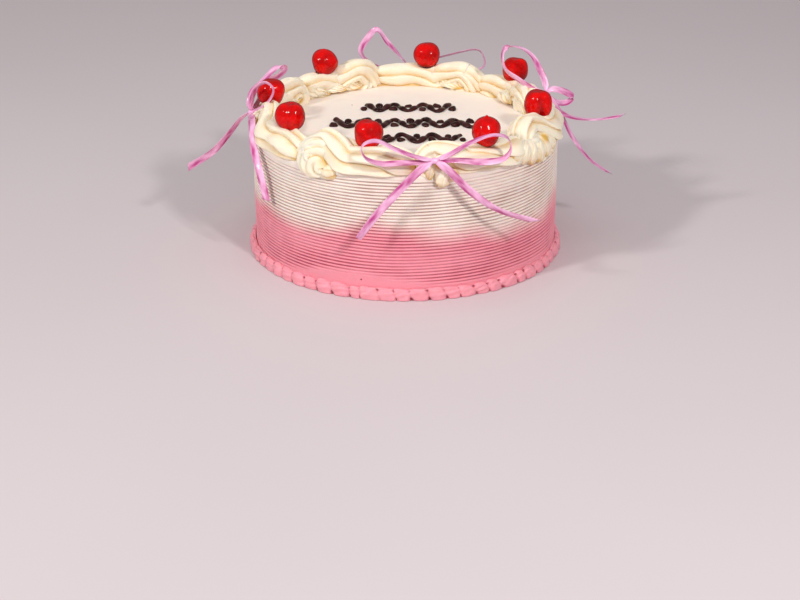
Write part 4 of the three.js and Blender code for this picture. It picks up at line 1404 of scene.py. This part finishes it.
def ribbon_shell(rows, wanted, knot, slanted):
    """A flat outline of rounded edges carried along a curve through the rows' places. Its width lies
    near the wanted direction and is turned about the curve by the rows' last number."""
    curve, length = through(rows, RIBBON_STEPS)
    line, lean = curve[:, :3], np.radians(curve[:, 3:])
    ahead = heading(line)
    level = unit(wanted - (ahead @ wanted)[:, None] * ahead)
    steep = np.cross(ahead, level)
    across, face = np.cos(lean) * level + np.sin(lean) * steep, np.cos(lean) * steep - np.sin(lean) * level
    from_knot = np.linalg.norm(line - knot, axis=1)
    opened = mix(PINCH, 1, smooth(from_knot / PINCH_LENGTH))[:, None]
    turn = angles_round(RIBBON_COLUMNS)[None, :]
    flat = np.sign(np.cos(turn)) * np.abs(np.cos(turn)) ** FLAT_CURVE
    thick = np.sign(np.sin(turn)) * np.abs(np.sin(turn)) ** THICK_CURVE
    aside = RIBBON_WIDTH / 2 * opened * flat
    cup = CUP * RIBBON_WIDTH * (1 + 2 * (1 - opened)) * (1 - flat**2)
    cut = np.zeros((RIBBON_STEPS, 1))
    cut[-CUT_STEPS:, 0] = slanted * np.linspace(0, 1, CUT_STEPS)
    grid = carry(line, (across, aside), (face, RIBBON_THICKNESS / 2 * thick + cup), (ahead, cut * aside))
    widths = length / RIBBON_WIDTH
    run = np.linspace(0, widths, RIBBON_STEPS)[:, None]
    return with_band(tube(grid), 0.5 + 0.5 * flat + 0 * run, run + 0 * flat, [[0.5, 0], [0.5, widths]])


def knot_shell(middle, outwards):
    """A small ball, wider than high, with pleats that run over it."""
    rise = np.linspace(-KNOT_END, KNOT_END, KNOT_ROWS)[:, None] * np.pi / 2
    angle = angles_round(KNOT_COLUMNS)[None, :]
    ring = KNOT_RADIUS * (1 + PLEAT_DEPTH * np.cos(PLEATS * angle) * np.cos(rise)) * np.cos(rise)
    wide, deep, high = KNOT_SIZES
    across, down = np.cross(outwards, [0, 0, 1]), np.array([0, 0, -1.0])
    grid = carry(middle, (across * wide, ring * np.cos(angle)), (outwards * deep, ring * np.sin(angle)),
                 (down, high * KNOT_RADIUS * np.sin(rise) + 0 * angle))
    band = rise / np.pi + 0.5 + 0 * angle, angle / KNOT_BAND + 0 * rise
    return with_band(tube(grid), *band, [[0, 0], [1, 0]])


for bow in BOWS:
    knot = bow_places(bow, (0, 0, 0))
    stretches = [(width, 0, stretch_rows(bow, rows, True)) for width, rows in bow["loops"]]
    stretches += [(width, slanted, stretch_rows(bow, rows, False)) for width, slanted, rows in bow["ends"]]
    shells = [ribbon_shell(rows, (bow_places(bow, width) - knot)[0], knot, slanted)
              for width, slanted, rows in stretches]
    shells.append(knot_shell(knot[0], (bow_places(bow, (0, 1, 0)) - knot)[0]))
    make_piece(f"satin_bow_{bow['name']}", shells, satin, f"bow_{bow['name']}")

# %% [markdown]
# ## Floor and light
# The cake stands on a plain pale floor. Two small lights left and right of the camera draw the
# shadows of the bows and the glints on the cherries, and a wide one above and a pale sky soften
# them. One large light alone would be simpler, but it would leave the cherries without glints.

# %% Floor and lights
FLOOR_HALF = 4.0
FLOOR_LEVEL = -0.0002
LIT_PLACE = np.array([0, 0, 0.06])  # what the lights face
SKY_COLOUR = (0.95, 0.9, 0.93, 1)
SKY_STRENGTH = 0.37
# Name, place, size, power, colour, and whether it shows in glossy things
LIGHTS = [
    ("left_light", (-1.15, -1.0, 1.15), 0.16, 13.8, (1.0, 0.99, 0.97), True),
    ("right_light", (0.62, -1.12, 0.98), 0.13, 10.0, (1.0, 0.97, 0.97), True),
    ("upper_light", (-0.1, -0.2, 1.7), 1.0, 5.0, (1.0, 0.99, 0.97), False),
]


def make_floor():
    """A wide level square under the cake, with a faint mottled finish."""
    material, tree, shader = new_material("pale_floor")
    share = noise(tree, object_place(tree), scale=3, detail=2)
    tone = blend_colours(tree, share, colour(208, 198, 200), colour(214, 205, 207))
    fill(shader, {"Base Color": tone, "Roughness": 0.7})
    mesh = bpy.data.meshes.new("studio_floor")
    corners = np.array([[-1, -1], [1, -1], [1, 1], [-1, 1]]) * FLOOR_HALF
    mesh.from_pydata([(x, y, FLOOR_LEVEL) for x, y in corners], [], [(0, 1, 2, 3)])
    mesh.materials.append(material)
    floor = into_scene("studio_floor", mesh)


def make_light(name, stands_at, size, power, tint, shines):
    """A square area light that faces the cake."""
    lamp = bpy.data.lights.new(name, "AREA")
    lamp.size = size
    lamp.energy = power
    lamp.color = tint
    light = into_scene(name, lamp)
    light.location = stands_at
    light.visible_glossy = shines
    x, y, z = LIT_PLACE - np.array(stands_at)
    light.rotation_euler = (math.atan2(math.hypot(x, y), -z), 0, math.atan2(y, x) - math.pi / 2)


make_floor()
for light in LIGHTS:
    make_light(*light)
world = bpy.data.worlds.new("pale_sky")
world.use_nodes = True
fill(world.node_tree.nodes["Background"], {"Color": SKY_COLOUR, "Strength": SKY_STRENGTH})
bpy.context.scene.world = world
bpy.context.scene.view_settings.view_transform = "Standard"
print("lights:", [name for name, *_ in LIGHTS])

# %% [markdown]
# ## Camera
# The camera stands where the photo was taken from, over a metre away and looking down at the cake by
# about 24 degrees. A constraint could aim it at the cake, but plain angles are easy to read. Place,
# angles and lens come from laying the outline of the cake over that in the photo.

# %% Camera
CAMERA_PLACE = (0.0013, -1.259, 0.5033)
CAMERA_DOWN = 0.4125  # radians below level
CAMERA_TURN = 0.004
CAMERA_LENS = 84.6
CAMERA_SENSOR = 36

lens = bpy.data.cameras.new("camera")
lens.lens = CAMERA_LENS
lens.sensor_width = CAMERA_SENSOR
camera = into_scene("camera", lens)
camera.location = CAMERA_PLACE
camera.rotation_euler = (math.pi / 2 - CAMERA_DOWN, 0, CAMERA_TURN)
bpy.context.scene.camera = camera
print("camera, in metres from the cake:", round(math.hypot(*CAMERA_PLACE), 3))

# %% [markdown]
# ## The end
# Last, the view layer is brought up to date. The finished pieces have to stay inside the imported
# model's box.

# %% The end
bpy.context.view_layer.update()
